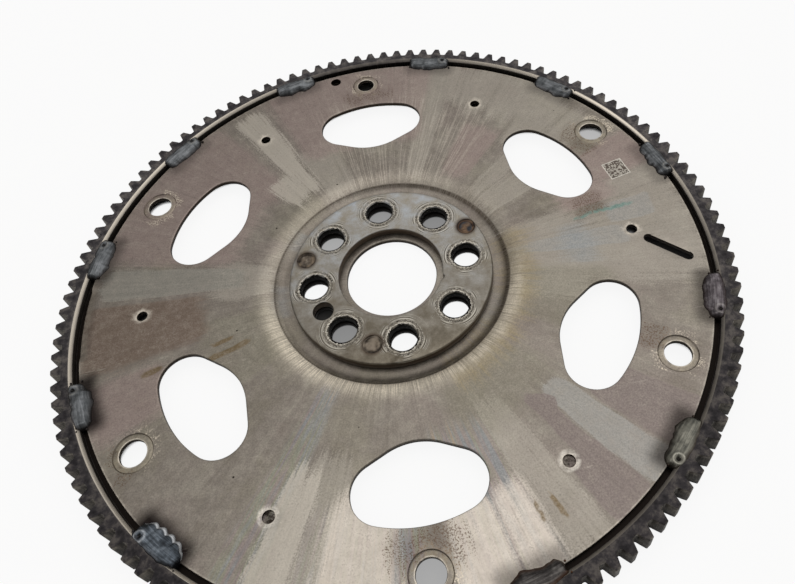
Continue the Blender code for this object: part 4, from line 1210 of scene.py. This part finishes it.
# %% [markdown]
# The starter's pinion and handling rub the scale off the teeth's upper edges, and the chamfer was
# turned bright before the beads went on; its pale colour is partly a painted highlight, and some
# stretches of it are darkened as painted shade. Below it the bore and the ledge are dark, with soot
# and painted shade of the narrow gap. Three masks on the gear's points say where.

# %% Worn edges, chamfer and bore of the gear
# Stretches of the chamfer darkened as painted shade: centre and half span in degrees, edge, and
# brightness lost
DULL_STRETCHES = ((-135, 42, 30, 0.65), (-2, 18, 16, 0.8))
EDGE_WEAR = 2.5

edge = add_node(tree, "Attribute", attribute_name="worn_edge", out="Fac")
rubbed = add_node(tree, "MapRange", {"Value": mottle, "From Min": 0.44, "From Max": 0.58, "To Min": 0.15,
                  "To Max": 0.75})
rubbed = add_node(tree, "Math", {0: rubbed, 1: edge}, operation='MULTIPLY')
colour = add_node(tree, "Mix", {0: rubbed, 6: colour, 7: "#8b857b"}, data_type='RGBA', out=2)
# The chamfer: turned steel, its pale colour partly a painted highlight
bright = add_node(tree, "Attribute", attribute_name="chamfer", out="Fac")
colour = add_node(tree, "Mix", {0: bright, 6: colour, 7: "#ddd4c6"}, data_type='RGBA', out=2)
# Bore and ledge: dark soot and painted shade of the narrow gap
bore = add_node(tree, "Attribute", attribute_name="bore", out="Fac")
colour = add_node(tree, "Mix", {0: bore, 6: colour, 7: "#1d1713"}, data_type='RGBA', out=2)
tree.links.new(colour, shader.inputs["Base Color"])
shader.inputs["Metallic"].default_value = 0.85
dull = add_node(tree, "MapRange", {"Value": flank, "To Min": 0.56, "To Max": 0.38})
turned_smooth = add_node(tree, "Mix", {0: bright, 2: dull, 3: 0.22}, data_type='FLOAT')
tree.links.new(turned_smooth, shader.inputs["Roughness"])
bump = add_node(tree, "Bump", {"Height": mottle, "Strength": 0.35, "Distance": 0.25 * MM})
tree.links.new(bump, shader.inputs["Normal"])
both = np.tile(radius, SKINS)
on_top = np.arange(len(both)) < len(radius)
around = np.degrees(np.arctan2(-plan[:, 0], plan[:, 1]))
turned_bright = np.ones(len(radius))
for middle, half_span, soft, loss in DULL_STRETCHES:
    turned_bright -= loss * between(from_angle(around, middle), -half_span, half_span, soft)
on_chamfer = between(both, BORE_RADIUS + 0.05, BORE_RADIUS + CHAMFER_WIDTH, 0.3) * on_top
edge_wear = np.clip(drops / GEAR_EDGE * EDGE_WEAR, 0, 1)
paint(starter_ring, "chamfer", on_chamfer * np.tile(turned_bright, SKINS))
paint(starter_ring, "worn_edge", np.tile(edge_wear, SKINS) * on_top * (both > FACE_START))
paint(starter_ring, "bore", smooth((BORE_RADIUS - 0.02 - both) / 0.06))
starter_ring.data.materials.append(gear_steel)
finish_piece(starter_ring, ["ring_gear"], 32.0)

# %% [markdown]
# The hub plate spreads the clamping force of the crankshaft bolts. It is punched from thick strip,
# so its edge is a little round, and every bolt has pressed a shallow cone and fine circular marks
# into it. The distance to the nearest bolt is kept on the points for those marks.

# %% The hub plate
PLATE_RADIUS = radius_of("hub_plate")
PLATE_BORE = 26.6
PLATE_EDGE = 0.9
SEAT_RADIUS = 9.4
SEAT_DEPTH = 0.25
SEAT_STEPS = (8.7, 9.25, 9.5)
PLUG_RADIUS = 4.7
PLUG_EDGE = 0.35
NICK_ANGLE = -109.0
NICK_DEPTH = 1.9
NICK_HALF_SPAN = 4.6
PLUGS = ["plug_weld_1", "plug_weld_2", "plug_weld_3"]


def spot_of(node):
    low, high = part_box(node)
    return np.array(((low.x + high.x) / 2, (low.y + high.y) / 2)) / MM


def gap_to(spots):
    """The distance from each point of the plan to the nearest of some spots."""
    return np.min([np.linalg.norm(plan - spot, axis=1) for spot in spots], axis=0)


bore_turns = np.linspace(0, 360, 160, endpoint=False)
nick = NICK_DEPTH * np.clip(1 - np.abs(from_angle(bore_turns, NICK_ANGLE)) / NICK_HALF_SPAN, 0, 1) ** 1.4
bore_loop = np.array([polar(PLATE_BORE + depth, turn) for turn, depth in zip(bore_turns, nick)])
plate = Drawing(circle((0, 0), PLATE_RADIUS, 260), PLATE_EDGE)
plate.add_edge(bore_loop, radius=0.4)
for spot in CRANK_SPOTS:
    plate.add_edge(circle(spot, CRANK_HOLE, 56), radius=SMALL_HOLE_EDGE)
plate.add_edge(circle(DOWEL_SPOT, DOWEL_HOLE, 44), radius=HOLE_EDGE)
plug_spots = [spot_of(node) for node in PLUGS]
for spot in plug_spots:
    plate.add_edge(circle(spot, PLUG_RADIUS, 44), radius=PLUG_EDGE)
seats = [circle(spot, distance, 56) for spot in CRANK_SPOTS for distance in SEAT_STEPS]
plate.add_points(np.concatenate(seats))
web = rings(28.4, PLATE_RADIUS - 2.4, 1.15, 1.25)
for spot in CRANK_SPOTS:
    web = web[np.linalg.norm(web - spot, axis=1) > SEAT_RADIUS + 0.6]
plate.add_points(web)
plan, faces, drops = plate.mesh_plan()
bolt_gap = gap_to(CRANK_SPOTS)
seat_slope = np.clip((SEAT_RADIUS - bolt_gap) / (SEAT_RADIUS - CRANK_HOLE), 0, 1)
hub_cover = build_plate("hub_cover_plate", plan, faces, PLATE_TOP - drops - SEAT_DEPTH * seat_slope,
                        PLATE_BOTTOM + drops * 0.6)
paint(hub_cover, "bolt_gap", np.tile(bolt_gap, SKINS))
paint(hub_cover, "plug_gap", np.tile(gap_to(plug_spots), SKINS))
print("the hub plate's plan has", len(plan), "points")

# %% [markdown]
# Its face was ground and then lay under bolt heads, so it is a calmer satin than the sheet, darker
# olive grey near the camera and paler and bluish towards the far side. Bright and dark arcs a bolt's
# flange wide stand round every hole. They come from noise over the distance to the bolt, broken up
# by a slower noise over the place.

# %% Ground plate steel: clouds and arcs
PLATE_CLOUD = 9
WEAR_PATCH = 8
# Real flange marks are about 0.2 mm apart, drawn here at 0.7 mm
ARC_SPACING = 1 / 1.5
ARC_REACH = 14.2
ARC_SHARE = 0.75

plate_steel, tree, shader = start_material("ground_plate_steel")
place = place_in_mm(tree)
cloud = add_node(tree, "TexNoise", {"Vector": place, "Scale": 1 / PLATE_CLOUD, "Detail": 6.0,
                                    "Roughness": 0.62})
near_tone = add_node(tree, "ValToRGB", {0: cloud},
                     stops=[(0.36, "#5a5348"), (0.50, "#726b5f"), (0.64, "#8a8376")])
far_tone = add_node(tree, "ValToRGB", {0: cloud},
                    stops=[(0.36, "#989184"), (0.50, "#a5a39f"), (0.64, "#b1b5ba")])
across = add_node(tree, "SeparateXYZ", {0: place}, out="Y")
away = add_node(tree, "MapRange", {"Value": across, "From Min": -46.0, "From Max": 46.0})
colour = add_node(tree, "Mix", {0: away, 6: near_tone, 7: far_tone}, data_type='RGBA', out=2)
bolt = add_node(tree, "Attribute", attribute_name="bolt_gap", out="Fac")
plug = add_node(tree, "Attribute", attribute_name="plug_gap", out="Fac")
circling = add_node(tree, "TexNoise", {"W": bolt, "Scale": 1 / ARC_SPACING, "Detail": 3.0,
                                       "Roughness": 0.7}, noise_dimensions='1D')
broken = add_node(tree, "TexNoise", {"Vector": place, "Scale": 1 / WEAR_PATCH, "Detail": 4.0})
here = add_node(tree, "MapRange", {"Value": broken, "From Min": 0.46, "From Max": 0.60})
near_bolt = add_node(tree, "MapRange", {"Value": bolt, "From Min": ARC_REACH, "From Max": 11.0})
arcs = add_node(tree, "Math", {0: here, 1: near_bolt}, operation='MULTIPLY')
arc_colour = add_node(tree, "ValToRGB", {0: circling},
                      stops=[(0.42, "#403b34"), (0.50, "#8b857a"), (0.58, "#d8d4ca")])
faint = add_node(tree, "Math", {0: arcs, 1: ARC_SHARE}, operation='MULTIPLY')
colour = add_node(tree, "Mix", {0: faint, 6: colour, 7: arc_colour}, data_type='RGBA', out=2)
print("arcs round the bolts, out to", ARC_REACH, "mm")

# %% [markdown]
# Each seat is a set of rings, from a black ring at the hole's edge, over a bright land, to a dark
# groove at its rim. They are partly pressed marks and partly painted shade and painted highlight. One
# colour ramp over the distance to the bolt holds them all, and noise is added to that distance first,
# so that the rings come out ragged.

# %% Bolt seats and the scorched plugs
SEAT_RAGGED = 0.9
# Partly painted light: the black and the bright rings of each seat
SEAT_RAMP = [
    (0.0, "#0e0c0b"), (0.28, "#1a1714"), (0.36, "#d9d4c9"), (0.46, "#b9b3a7"), (0.54, "#5d574e"),
    (0.70, "#8b857b"), (0.76, "#231e1a"), (0.85, "#2c2621"), (0.92, "#d6d1c6"), (1.0, "#7b756a"),
]

seat = add_node(tree, "MapRange", {"Value": bolt, "From Min": SEAT_RADIUS + 0.7, "From Max": SEAT_RADIUS,
                "To Max": 1.0})
worn_here = add_node(tree, "MapRange", {"Value": broken, "From Min": 0.40, "From Max": 0.55,
                                        "To Min": 0.55})
seat = add_node(tree, "Math", {0: seat, 1: worn_here}, operation='MULTIPLY')
rough = add_node(tree, "TexNoise", {"Vector": place, "Scale": 0.9, "Detail": 4.0, "Roughness": 0.7})
rough = add_node(tree, "MapRange", {"Value": rough, "From Min": 0.25, "From Max": 0.75,
                                    "To Min": -SEAT_RAGGED, "To Max": SEAT_RAGGED})
ragged = add_node(tree, "Math", {0: bolt, 1: rough}, operation='ADD')
out_of_hole = add_node(tree, "MapRange", {"Value": ragged, "From Min": CRANK_HOLE, "From Max": 9.9})
pressed = add_node(tree, "ValToRGB", {0: out_of_hole}, stops=SEAT_RAMP)
colour = add_node(tree, "Mix", {0: seat, 6: colour, 7: pressed}, data_type='RGBA', out=2)
scorch = add_node(tree, "MapRange", {"Value": plug, "From Min": 7.0, "From Max": PLUG_RADIUS,
                                     "To Max": 0.8}, interpolation_type='SMOOTHSTEP')
colour = add_node(tree, "Mix", {0: scorch, 6: colour, 7: "#4a3d33"}, data_type='RGBA', out=2)
print("a seat has", len(SEAT_RAMP), "rings of colour")

# %% [markdown]
# The bolt holes' walls are painted nearly black as painted shade, with bright flecks as painted
# glints, and the plate's own edge is a rusty brown. Grit gives the ground face its fine contrast and
# relief.

# %% Walls and gloss of the hub plate
grit = add_node(tree, "TexNoise", {"Vector": place, "Scale": 1 / GRIT, "Detail": 3.0, "Roughness": 0.7})
gain = add_node(tree, "MapRange", {"Value": grit, "From Min": 0.3, "From Max": 0.7, "To Min": 0.90,
                                   "To Max": 1.10})
colour = add_node(tree, "Mix", {0: 1.0, 6: colour, 7: gain}, data_type='RGBA', blend_type='MULTIPLY', out=2)
level = flatness(tree)
wall = add_node(tree, "MapRange", {"Value": level, "From Min": 0.20, "From Max": 0.10})
in_hole = add_node(tree, "MapRange", {"Value": bolt, "From Min": 7.6, "From Max": 7.2})
# Painted shade on the bolt holes' walls, with painted glints
gritty = add_node(tree, "ValToRGB", {0: grit},
                  stops=[(0.52, "#0b0a09"), (0.62, "#1d1a16"), (0.70, "#8d877c")])
hole_wall = add_node(tree, "Mix", {0: in_hole, 6: "#5b4f43", 7: gritty}, data_type='RGBA', out=2)
colour = add_node(tree, "Mix", {0: wall, 6: colour, 7: hole_wall}, data_type='RGBA', out=2)
tree.links.new(colour, shader.inputs["Base Color"])
shader.inputs["Metallic"].default_value = 0.9
satin = add_node(tree, "MapRange", {"Value": cloud, "From Min": 0.3, "From Max": 0.7, "To Min": 0.34,
                 "To Max": 0.46})
tree.links.new(satin, shader.inputs["Roughness"])
relief = add_node(tree, "Math", {0: circling, 1: grit}, operation='ADD')
bump = add_node(tree, "Bump", {"Height": relief, "Strength": 0.25, "Distance": 0.1 * MM})
tree.links.new(bump, shader.inputs["Normal"])
hub_cover.data.materials.append(plate_steel)
finish_piece(hub_cover, ["hub_plate"])

# %% [markdown]
# Weld metal freezes as a row of overlapping puddles: smooth, lumpy, with a pit where the arc
# stopped. Each bead is a closed loaf on a grid along and across the groove. Its two toes wander,
# its crown climbs from the sheet to the ring, and the lumps come from the same random drift with
# its own seed for every bead.

# %% Outline and crown of a weld bead
BEAD_TOE_IN = 4.6
BEAD_TOE_OUT = 1.8
BEAD_CROWN = 0.8
BEAD_STATIONS = 57
BEAD_ACROSS = 21
EXTRA_REACH = {"weld_bead_09": 1.4}
SCALLOPED = "weld_bead_09"
BALL_ENDED = "weld_bead_06"
# Over the width of a bead: the share across, of the climb to the ring, and of the crown
CLIMB = np.array(((0.0, 0.0, 0.0), (0.16, 0.42, 0.30), (0.35, 0.80, 0.42), (0.55, 1.0, 0.45),
                  (0.82, 1.0, 0.75), (1.0, 1.0, 0.0)))
LUMP_SIZE = 4.2
LUMP_HEIGHT = 0.7
FINE_SIZE = 1.7
FINE_HEIGHT = 0.15
RIPPLE_HEIGHT = 0.03
CRATER_RADIUS = 2.3
bead_across = np.linspace(0, 1, BEAD_ACROSS)
bead_middle = np.sin(bead_across * math.pi)[None, :]


def seat_height(distance):
    """What lies under a bead: the sheet, the groove, the chamfer, the ring's face."""
    inward = np.clip((BORE_RADIUS + CHAMFER_WIDTH - distance) / CHAMFER_WIDTH, 0, 1)
    groove = np.where(distance < BORE_RADIUS, DISC_TOP - 0.8, RING_TOP - CHAMFER_HEIGHT * inward)
    return np.where(distance < RIM_RADIUS, DISC_TOP, groove)


def bead_width(node, seed, along):
    """Distances from the axis of a bead's grid, between its two wandering toes."""
    run = along * BEAD_HALF_LENGTH + 50 * seed
    still = run * 0
    waves = [2.0 * (drift(run, still, 5.0, seed + side) + 0.4 * drift(run, still, 1.8, seed + side) - 0.7)
             for side in (0, 30)]
    if node == SCALLOPED:
        waves[0] = 0.5 - 1.3 * np.abs(np.sin(run * 0.60))
    full = np.clip(1 - np.abs(along) ** 3.4, 0, 1) ** 0.55
    toe_in = RIM_RADIUS - (BEAD_TOE_IN + EXTRA_REACH.get(node, 0.0)) * full + waves[0] * full
    chamfer_end = BORE_RADIUS + CHAMFER_WIDTH
    toe_out = chamfer_end + BEAD_TOE_OUT * (full - 0.5) - 0.5 * (1 - full) - 0.7 * waves[1] * full
    return toe_in[:, None] + (toe_out - toe_in)[:, None] * bead_across[None, :]


def bead_heights(s, distance, seed, pit, lip_share, ends):
    """Heights of a bead's top and of what it lies on."""
    climb = np.interp(bead_across, CLIMB[:, 0], CLIMB[:, 1]) * (RING_TOP - DISC_TOP)
    climb = climb + np.interp(bead_across, CLIMB[:, 0], CLIMB[:, 2]) * BEAD_CROWN
    lumps = drift(s * 0.7 + 50 * seed, distance, LUMP_SIZE, seed + 70) - 0.5
    fine = drift(s + 50 * seed, distance * 2.2, FINE_SIZE, seed + 90) - 0.5
    ripple = np.sin(s * 2.6 + 1.4 * np.cos(bead_across[None, :] * math.pi) + seed)
    crater = 0.45 * lip_share * np.exp(-((pit - CRATER_RADIUS) / 0.5) ** 2)
    crater = crater - 0.9 * smooth((1.3 - pit) / 0.9)
    full = bead_middle ** 0.5
    relief = LUMP_HEIGHT * lumps + FINE_HEIGHT * fine + RIPPLE_HEIGHT * ripple + crater
    height = DISC_TOP + climb[None, :] + full * relief
    base = seat_height(distance) - 0.25
    return base + (np.maximum(height, base + 0.1) - base) * ends * np.minimum(1, full * 2.5), base


print("a bead's grid has", BEAD_STATIONS, "by", BEAD_ACROSS, "points")

# %% [markdown]
# Two to five balls of spatter stick near the ends of each bead. They are small spheres half sunk
# in the steel, at places that a seeded draw picks. The bead keeps its own length and width on its
# points, and where its edge, its pit and the pit's lip are, for the metal's colours.

# %% Weld beads on the rim
BALL_SIZES = (0.35, 0.8)


def add_spatter(bm, centre, random):
    for _ in range(int(random.integers(2, 6))):
        side = 1 if random.random() < 0.6 else -1
        turn = math.radians(centre) - side * (BEAD_HALF_LENGTH + random.uniform(-1.5, 1.2)) / BORE_RADIUS
        out = random.uniform(RIM_RADIUS - 2.5, BORE_RADIUS + 1.5)
        ball = random.uniform(*BALL_SIZES)
        lift = float(seat_height(np.array(out))) + 0.4 * ball
        where = Vector((-out * math.sin(turn), out * math.cos(turn), lift)) * MM
        bmesh.ops.create_icosphere(bm, subdivisions=2, radius=ball * MM, matrix=Matrix.Translation(where))


def mesh_loaf(top, under):
    """A closed mesh from the grid of a bead's top and the same grid below it."""
    grid = np.arange(BEAD_STATIONS * BEAD_ACROSS).reshape(BEAD_STATIONS, BEAD_ACROSS)
    quads = np.stack((grid[:-1, :-1], grid[1:, :-1], grid[1:, 1:], grid[:-1, 1:]), axis=-1).reshape(-1, 4)
    rim = np.concatenate((grid[0, :-1], grid[:-1, -1], grid[-1, :0:-1], grid[:0:-1, 0]))
    after = np.roll(rim, -1)
    walls = np.stack((rim, after, after + grid.size, rim + grid.size), axis=1)
    mesh = bpy.data.meshes.new("bead_metal")
    mesh.from_pydata((np.concatenate((top, under)) * MM).tolist(), [],
                     quads.tolist() + (quads[:, ::-1] + grid.size).tolist() + walls[:, ::-1].tolist())
    return mesh


def build_bead(node, seed):
    centre = angle_of(node)
    along = np.linspace(-1, 1, BEAD_STATIONS)
    along = np.sign(along) * (1 - (1 - np.abs(along)) ** 1.25)
    distance = bead_width(node, seed, along)
    s = along[:, None] * BEAD_HALF_LENGTH + 0 * distance
    pit = np.hypot(s - (BEAD_HALF_LENGTH - 4.2), distance - (BORE_RADIUS - 0.4))
    lip_share = 1.0 if node == BALL_ENDED else 0.3
    ends = np.clip((1 - np.abs(along)) * BEAD_HALF_LENGTH / 2.2, 0, 1)
    ends = np.sqrt(1 - (1 - ends) ** 2)[:, None]
    height, base = bead_heights(s, distance, seed, pit, lip_share, ends)
    turn = np.radians(centre) - s / BORE_RADIUS
    top = np.stack((-distance * np.sin(turn), distance * np.cos(turn), height), axis=-1).reshape(-1, 3)
    under = top.copy()
    under[:, 2] = (base - 0.35).ravel()
    mesh = mesh_loaf(top, under)
    bm = bmesh.new()
    bm.from_mesh(mesh)
    add_spatter(bm, centre, np.random.default_rng(seed))
    bmesh.ops.recalc_face_normals(bm, faces=bm.faces[:])
    bm.to_mesh(mesh)
    bm.free()
    piece = bpy.data.objects.new(node.replace("weld_bead", "arc_weld"), mesh)
    bpy.context.scene.collection.objects.link(piece)
    lip = lip_share * np.exp(-((pit - CRATER_RADIUS) / 0.4) ** 2)
    # Painted highlight: a near-white band along the scalloped bead's inner edge
    if node == SCALLOPED:
        lip = np.maximum(lip, between(bead_across, 0.01, 0.12, 0.05))
    masks = {"pit": smooth((1.2 - pit) / 0.5), "flow_along": s + 40 * seed, "flow_across": distance,
             "edge": 1 - np.minimum(bead_middle * 1.6, 1) * ends, "crater": lip}
    for mask, values in masks.items():
        elsewhere = 1.0 if mask == "edge" else 0.0
        kept = np.full(len(mesh.vertices), elsewhere)
        kept[:values.size] = values.ravel()
        paint(piece, mask, kept)
    return piece


beads = [build_bead(node, seed) for seed, node in enumerate(BEADS, start=1)]
print("beads built:", len(beads))

# %% [markdown]
# Weld steel comes out blue-grey and glassy where it stayed hot, and brown and scaly at its edges.
# Fine lines run along a bead, as the puddle was drawn that way: noise over the bead's own length and
# width, kept on its points. The pit at the end is dark and the last wave's lip is paler; on the glassy
# bead the lip and a band along its scalloped inner edge are near white, a painted highlight.

# %% Arc-weld metal
# Flow lines are about 0.3 mm apart on a real bead, and 0.8 mm here, to show
FLOW_WIDTH = 0.8
FLOW_LENGTH = 9.0
PIT_COLOUR = "#14100e"


def weld_material(name, ramp, toe, lip, roughness, lump):
    """Weld metal with a toe colour at its edge, a lip colour round its pit and flow lines."""
    material, tree, shader = start_material(name)
    place = place_in_mm(tree)
    mottle = add_node(tree, "TexNoise", {"Vector": place, "Scale": 1 / lump, "Detail": 4.0,
                                         "Roughness": 0.55})
    run = []
    for way, length in (("flow_along", FLOW_LENGTH), ("flow_across", FLOW_WIDTH)):
        flow = add_node(tree, "Attribute", attribute_name=way, out="Fac")
        run.append(add_node(tree, "Math", {0: flow, 1: 1 / length}, operation='MULTIPLY'))
    flowing = add_node(tree, "CombineXYZ", {0: run[0], 1: run[1]})
    lines = add_node(tree, "TexNoise", {"Vector": flowing, "Scale": 1.0, "Detail": 3.0, "Distortion": 0.6})
    half = add_node(tree, "Mix", {0: 0.5, 2: mottle, 3: lines}, data_type='FLOAT')
    colour = add_node(tree, "ValToRGB", {0: half}, stops=list(zip((0.38, 0.5, 0.62), ramp)))
    for mask, tint, share in (("edge", toe, 0.9), ("crater", lip, 0.9), ("pit", PIT_COLOUR, 0.95)):
        marked = add_node(tree, "Attribute", attribute_name=mask, out="Fac")
        amount = add_node(tree, "Math", {0: marked, 1: share}, operation='MULTIPLY')
        colour = add_node(tree, "Mix", {0: amount, 6: colour, 7: tint}, data_type='RGBA', out=2)
    tree.links.new(colour, shader.inputs["Base Color"])
    shader.inputs["Metallic"].default_value = 0.8
    gloss = add_node(tree, "MapRange", {"Value": mottle, "From Min": 0.3, "From Max": 0.7,
                     "To Min": roughness - 0.08, "To Max": roughness + 0.12})
    tree.links.new(gloss, shader.inputs["Roughness"])
    bump = add_node(tree, "Bump", {"Height": half, "Strength": 0.35, "Distance": 0.3 * MM})
    tree.links.new(bump, shader.inputs["Normal"])
    return material


# Name, colours from dark to pale, of the toe and of the lip, roughness, size of a lump in mm
USUAL_BEAD = ("arc_weld_metal", ("#45484b", "#5b5e61", "#7a7d81"), "#2e2624", "#a8a59d", 0.26, 5.0)
ODD_BEADS = {
    # The glassy bead's near-white lip colour is a painted highlight
    "weld_bead_09": ("glassy_arc_weld", ("#2f3338", "#474e56", "#6f7780"), "#241f1f", "#eef2f7", 0.18, 4.2),
    "weld_bead_06": ("dull_arc_weld", ("#4a4a45", "#6b6a62", "#8e8c82"), "#33261f", "#a9a79c", 0.34, 3.0),
    "weld_bead_07": ("scaled_arc_weld", ("#2f2c2b", "#474443", "#6b6865"), "#5d4130", "#8f8a80", 0.32, 2.8),
    "weld_bead_05": ("tinted_arc_weld", ("#443f42", "#5e585c", "#858083"), "#33241f", "#b0aca6", 0.28, 2.8),
}
arc_metal = weld_material(*USUAL_BEAD)
bead_metals = {node: weld_material(*look) for node, look in ODD_BEADS.items()}
for node, bead in zip(BEADS, beads):
    bead.data.materials.append(bead_metals.get(node, arc_metal))
    finish_piece(bead, [node], 60.0)

# %% [markdown]
# A plug weld fills a hole in the hub plate and melts into the sheet below. Its face is a lumpy
# disc, a little sunk, with a dark ring where the metal shrank away.

# %% Plug welds
PLUG_RINGS = 15
PLUG_TURNS = 44
PLUG_SINK = 0.6
PLUG_PROUD = 0.15
MOAT_DEPTH = 0.45


def build_plug(node, seed, lumpiness):
    centre = spot_of(node)
    share = np.linspace(0, 1, PLUG_RINGS + 1)[1:]
    turns = np.linspace(0, 2 * math.pi, PLUG_TURNS, endpoint=False)
    distance = (PLUG_RADIUS - 0.02) * share[:, None] + 0 * turns[None, :]
    x, y = distance * np.cos(turns), distance * np.sin(turns)
    lumps = drift(x + 40 * seed, y + 40, 2.4, seed + 130) - 0.5
    fine = drift(x + 40 * seed, y + 40, 0.9, seed + 150) - 0.5
    moat = np.exp(-((distance - PLUG_RADIUS + 0.7) / 0.5) ** 2)
    height = PLATE_TOP - PLUG_SINK * (1 - 0.4 * share[:, None] ** 2)
    height = height + lumpiness * (0.9 * lumps + 0.35 * fine) - MOAT_DEPTH * moat
    height = np.minimum(height, PLATE_TOP + PLUG_PROUD)
    ring_points = np.stack((x + centre[0], y + centre[1], height), axis=-1).reshape(-1, 3)
    rows = np.arange(ring_points.shape[0]).reshape(PLUG_RINGS, PLUG_TURNS)
    after = np.roll(rows, -1, axis=1)
    quads = np.stack((rows[:-1], rows[1:], after[1:], after[:-1]), axis=-1).reshape(-1, 4)
    foot = np.stack((x[-1] + centre[0], y[-1] + centre[1], np.full(PLUG_TURNS, PLATE_BOTTOM)), axis=-1)
    low = np.arange(PLUG_TURNS) + len(ring_points)
    side = np.stack((rows[-1], low, np.roll(low, -1), after[-1]), axis=1)
    points = np.concatenate((ring_points, foot))
    mesh = bpy.data.meshes.new("plug_metal")
    mesh.from_pydata((points * MM).tolist(), [],
                     quads.tolist() + side.tolist() + [rows[0].tolist(), low[::-1].tolist()])
    bm = bmesh.new()
    bm.from_mesh(mesh)
    bmesh.ops.recalc_face_normals(bm, faces=bm.faces[:])
    bm.to_mesh(mesh)
    bm.free()
    piece = bpy.data.objects.new(node.replace("plug_weld", "plug_fill"), mesh)
    bpy.context.scene.collection.objects.link(piece)
    for mask, values in (("edge", moat), ("crater", smooth((lumps + 0.2) * 2))):
        paint(piece, mask, np.concatenate((values.ravel(), np.zeros(PLUG_TURNS))))
    return piece


# Name, colours from dark to pale, of the moat and of the crust, roughness, size of a lump, lumpiness
PLUG_LOOKS = [
    ("crusted_plug_weld", ("#3b342e", "#6a6056", "#9b9184"), "#2c241f", "#7d6f5f", 0.5, 1.6, 0.8),
    ("glassy_plug_weld", ("#1d1e22", "#33353a", "#50545a"), "#4a3526", "#6b5644", 0.3, 3.0, 0.5),
    ("scaled_plug_weld", ("#3a332e", "#7a6f62", "#a1978a"), "#1c1815", "#8b8073", 0.5, 1.8, 0.9),
]
for seed, (node, (*look, lumpiness)) in enumerate(zip(PLUGS, PLUG_LOOKS), start=1):
    plug_fill = build_plug(node, seed, lumpiness)
    plug_fill.data.materials.append(weld_material(*look))
    finish_piece(plug_fill, [node], 60.0)

# %% [markdown]
# Last, the box of everything built here is printed.

# %% Sizes and finish
bpy.context.view_layer.update()
low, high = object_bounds()
print("visual box in mm:", [round(side / MM, 1) for side in high - low])
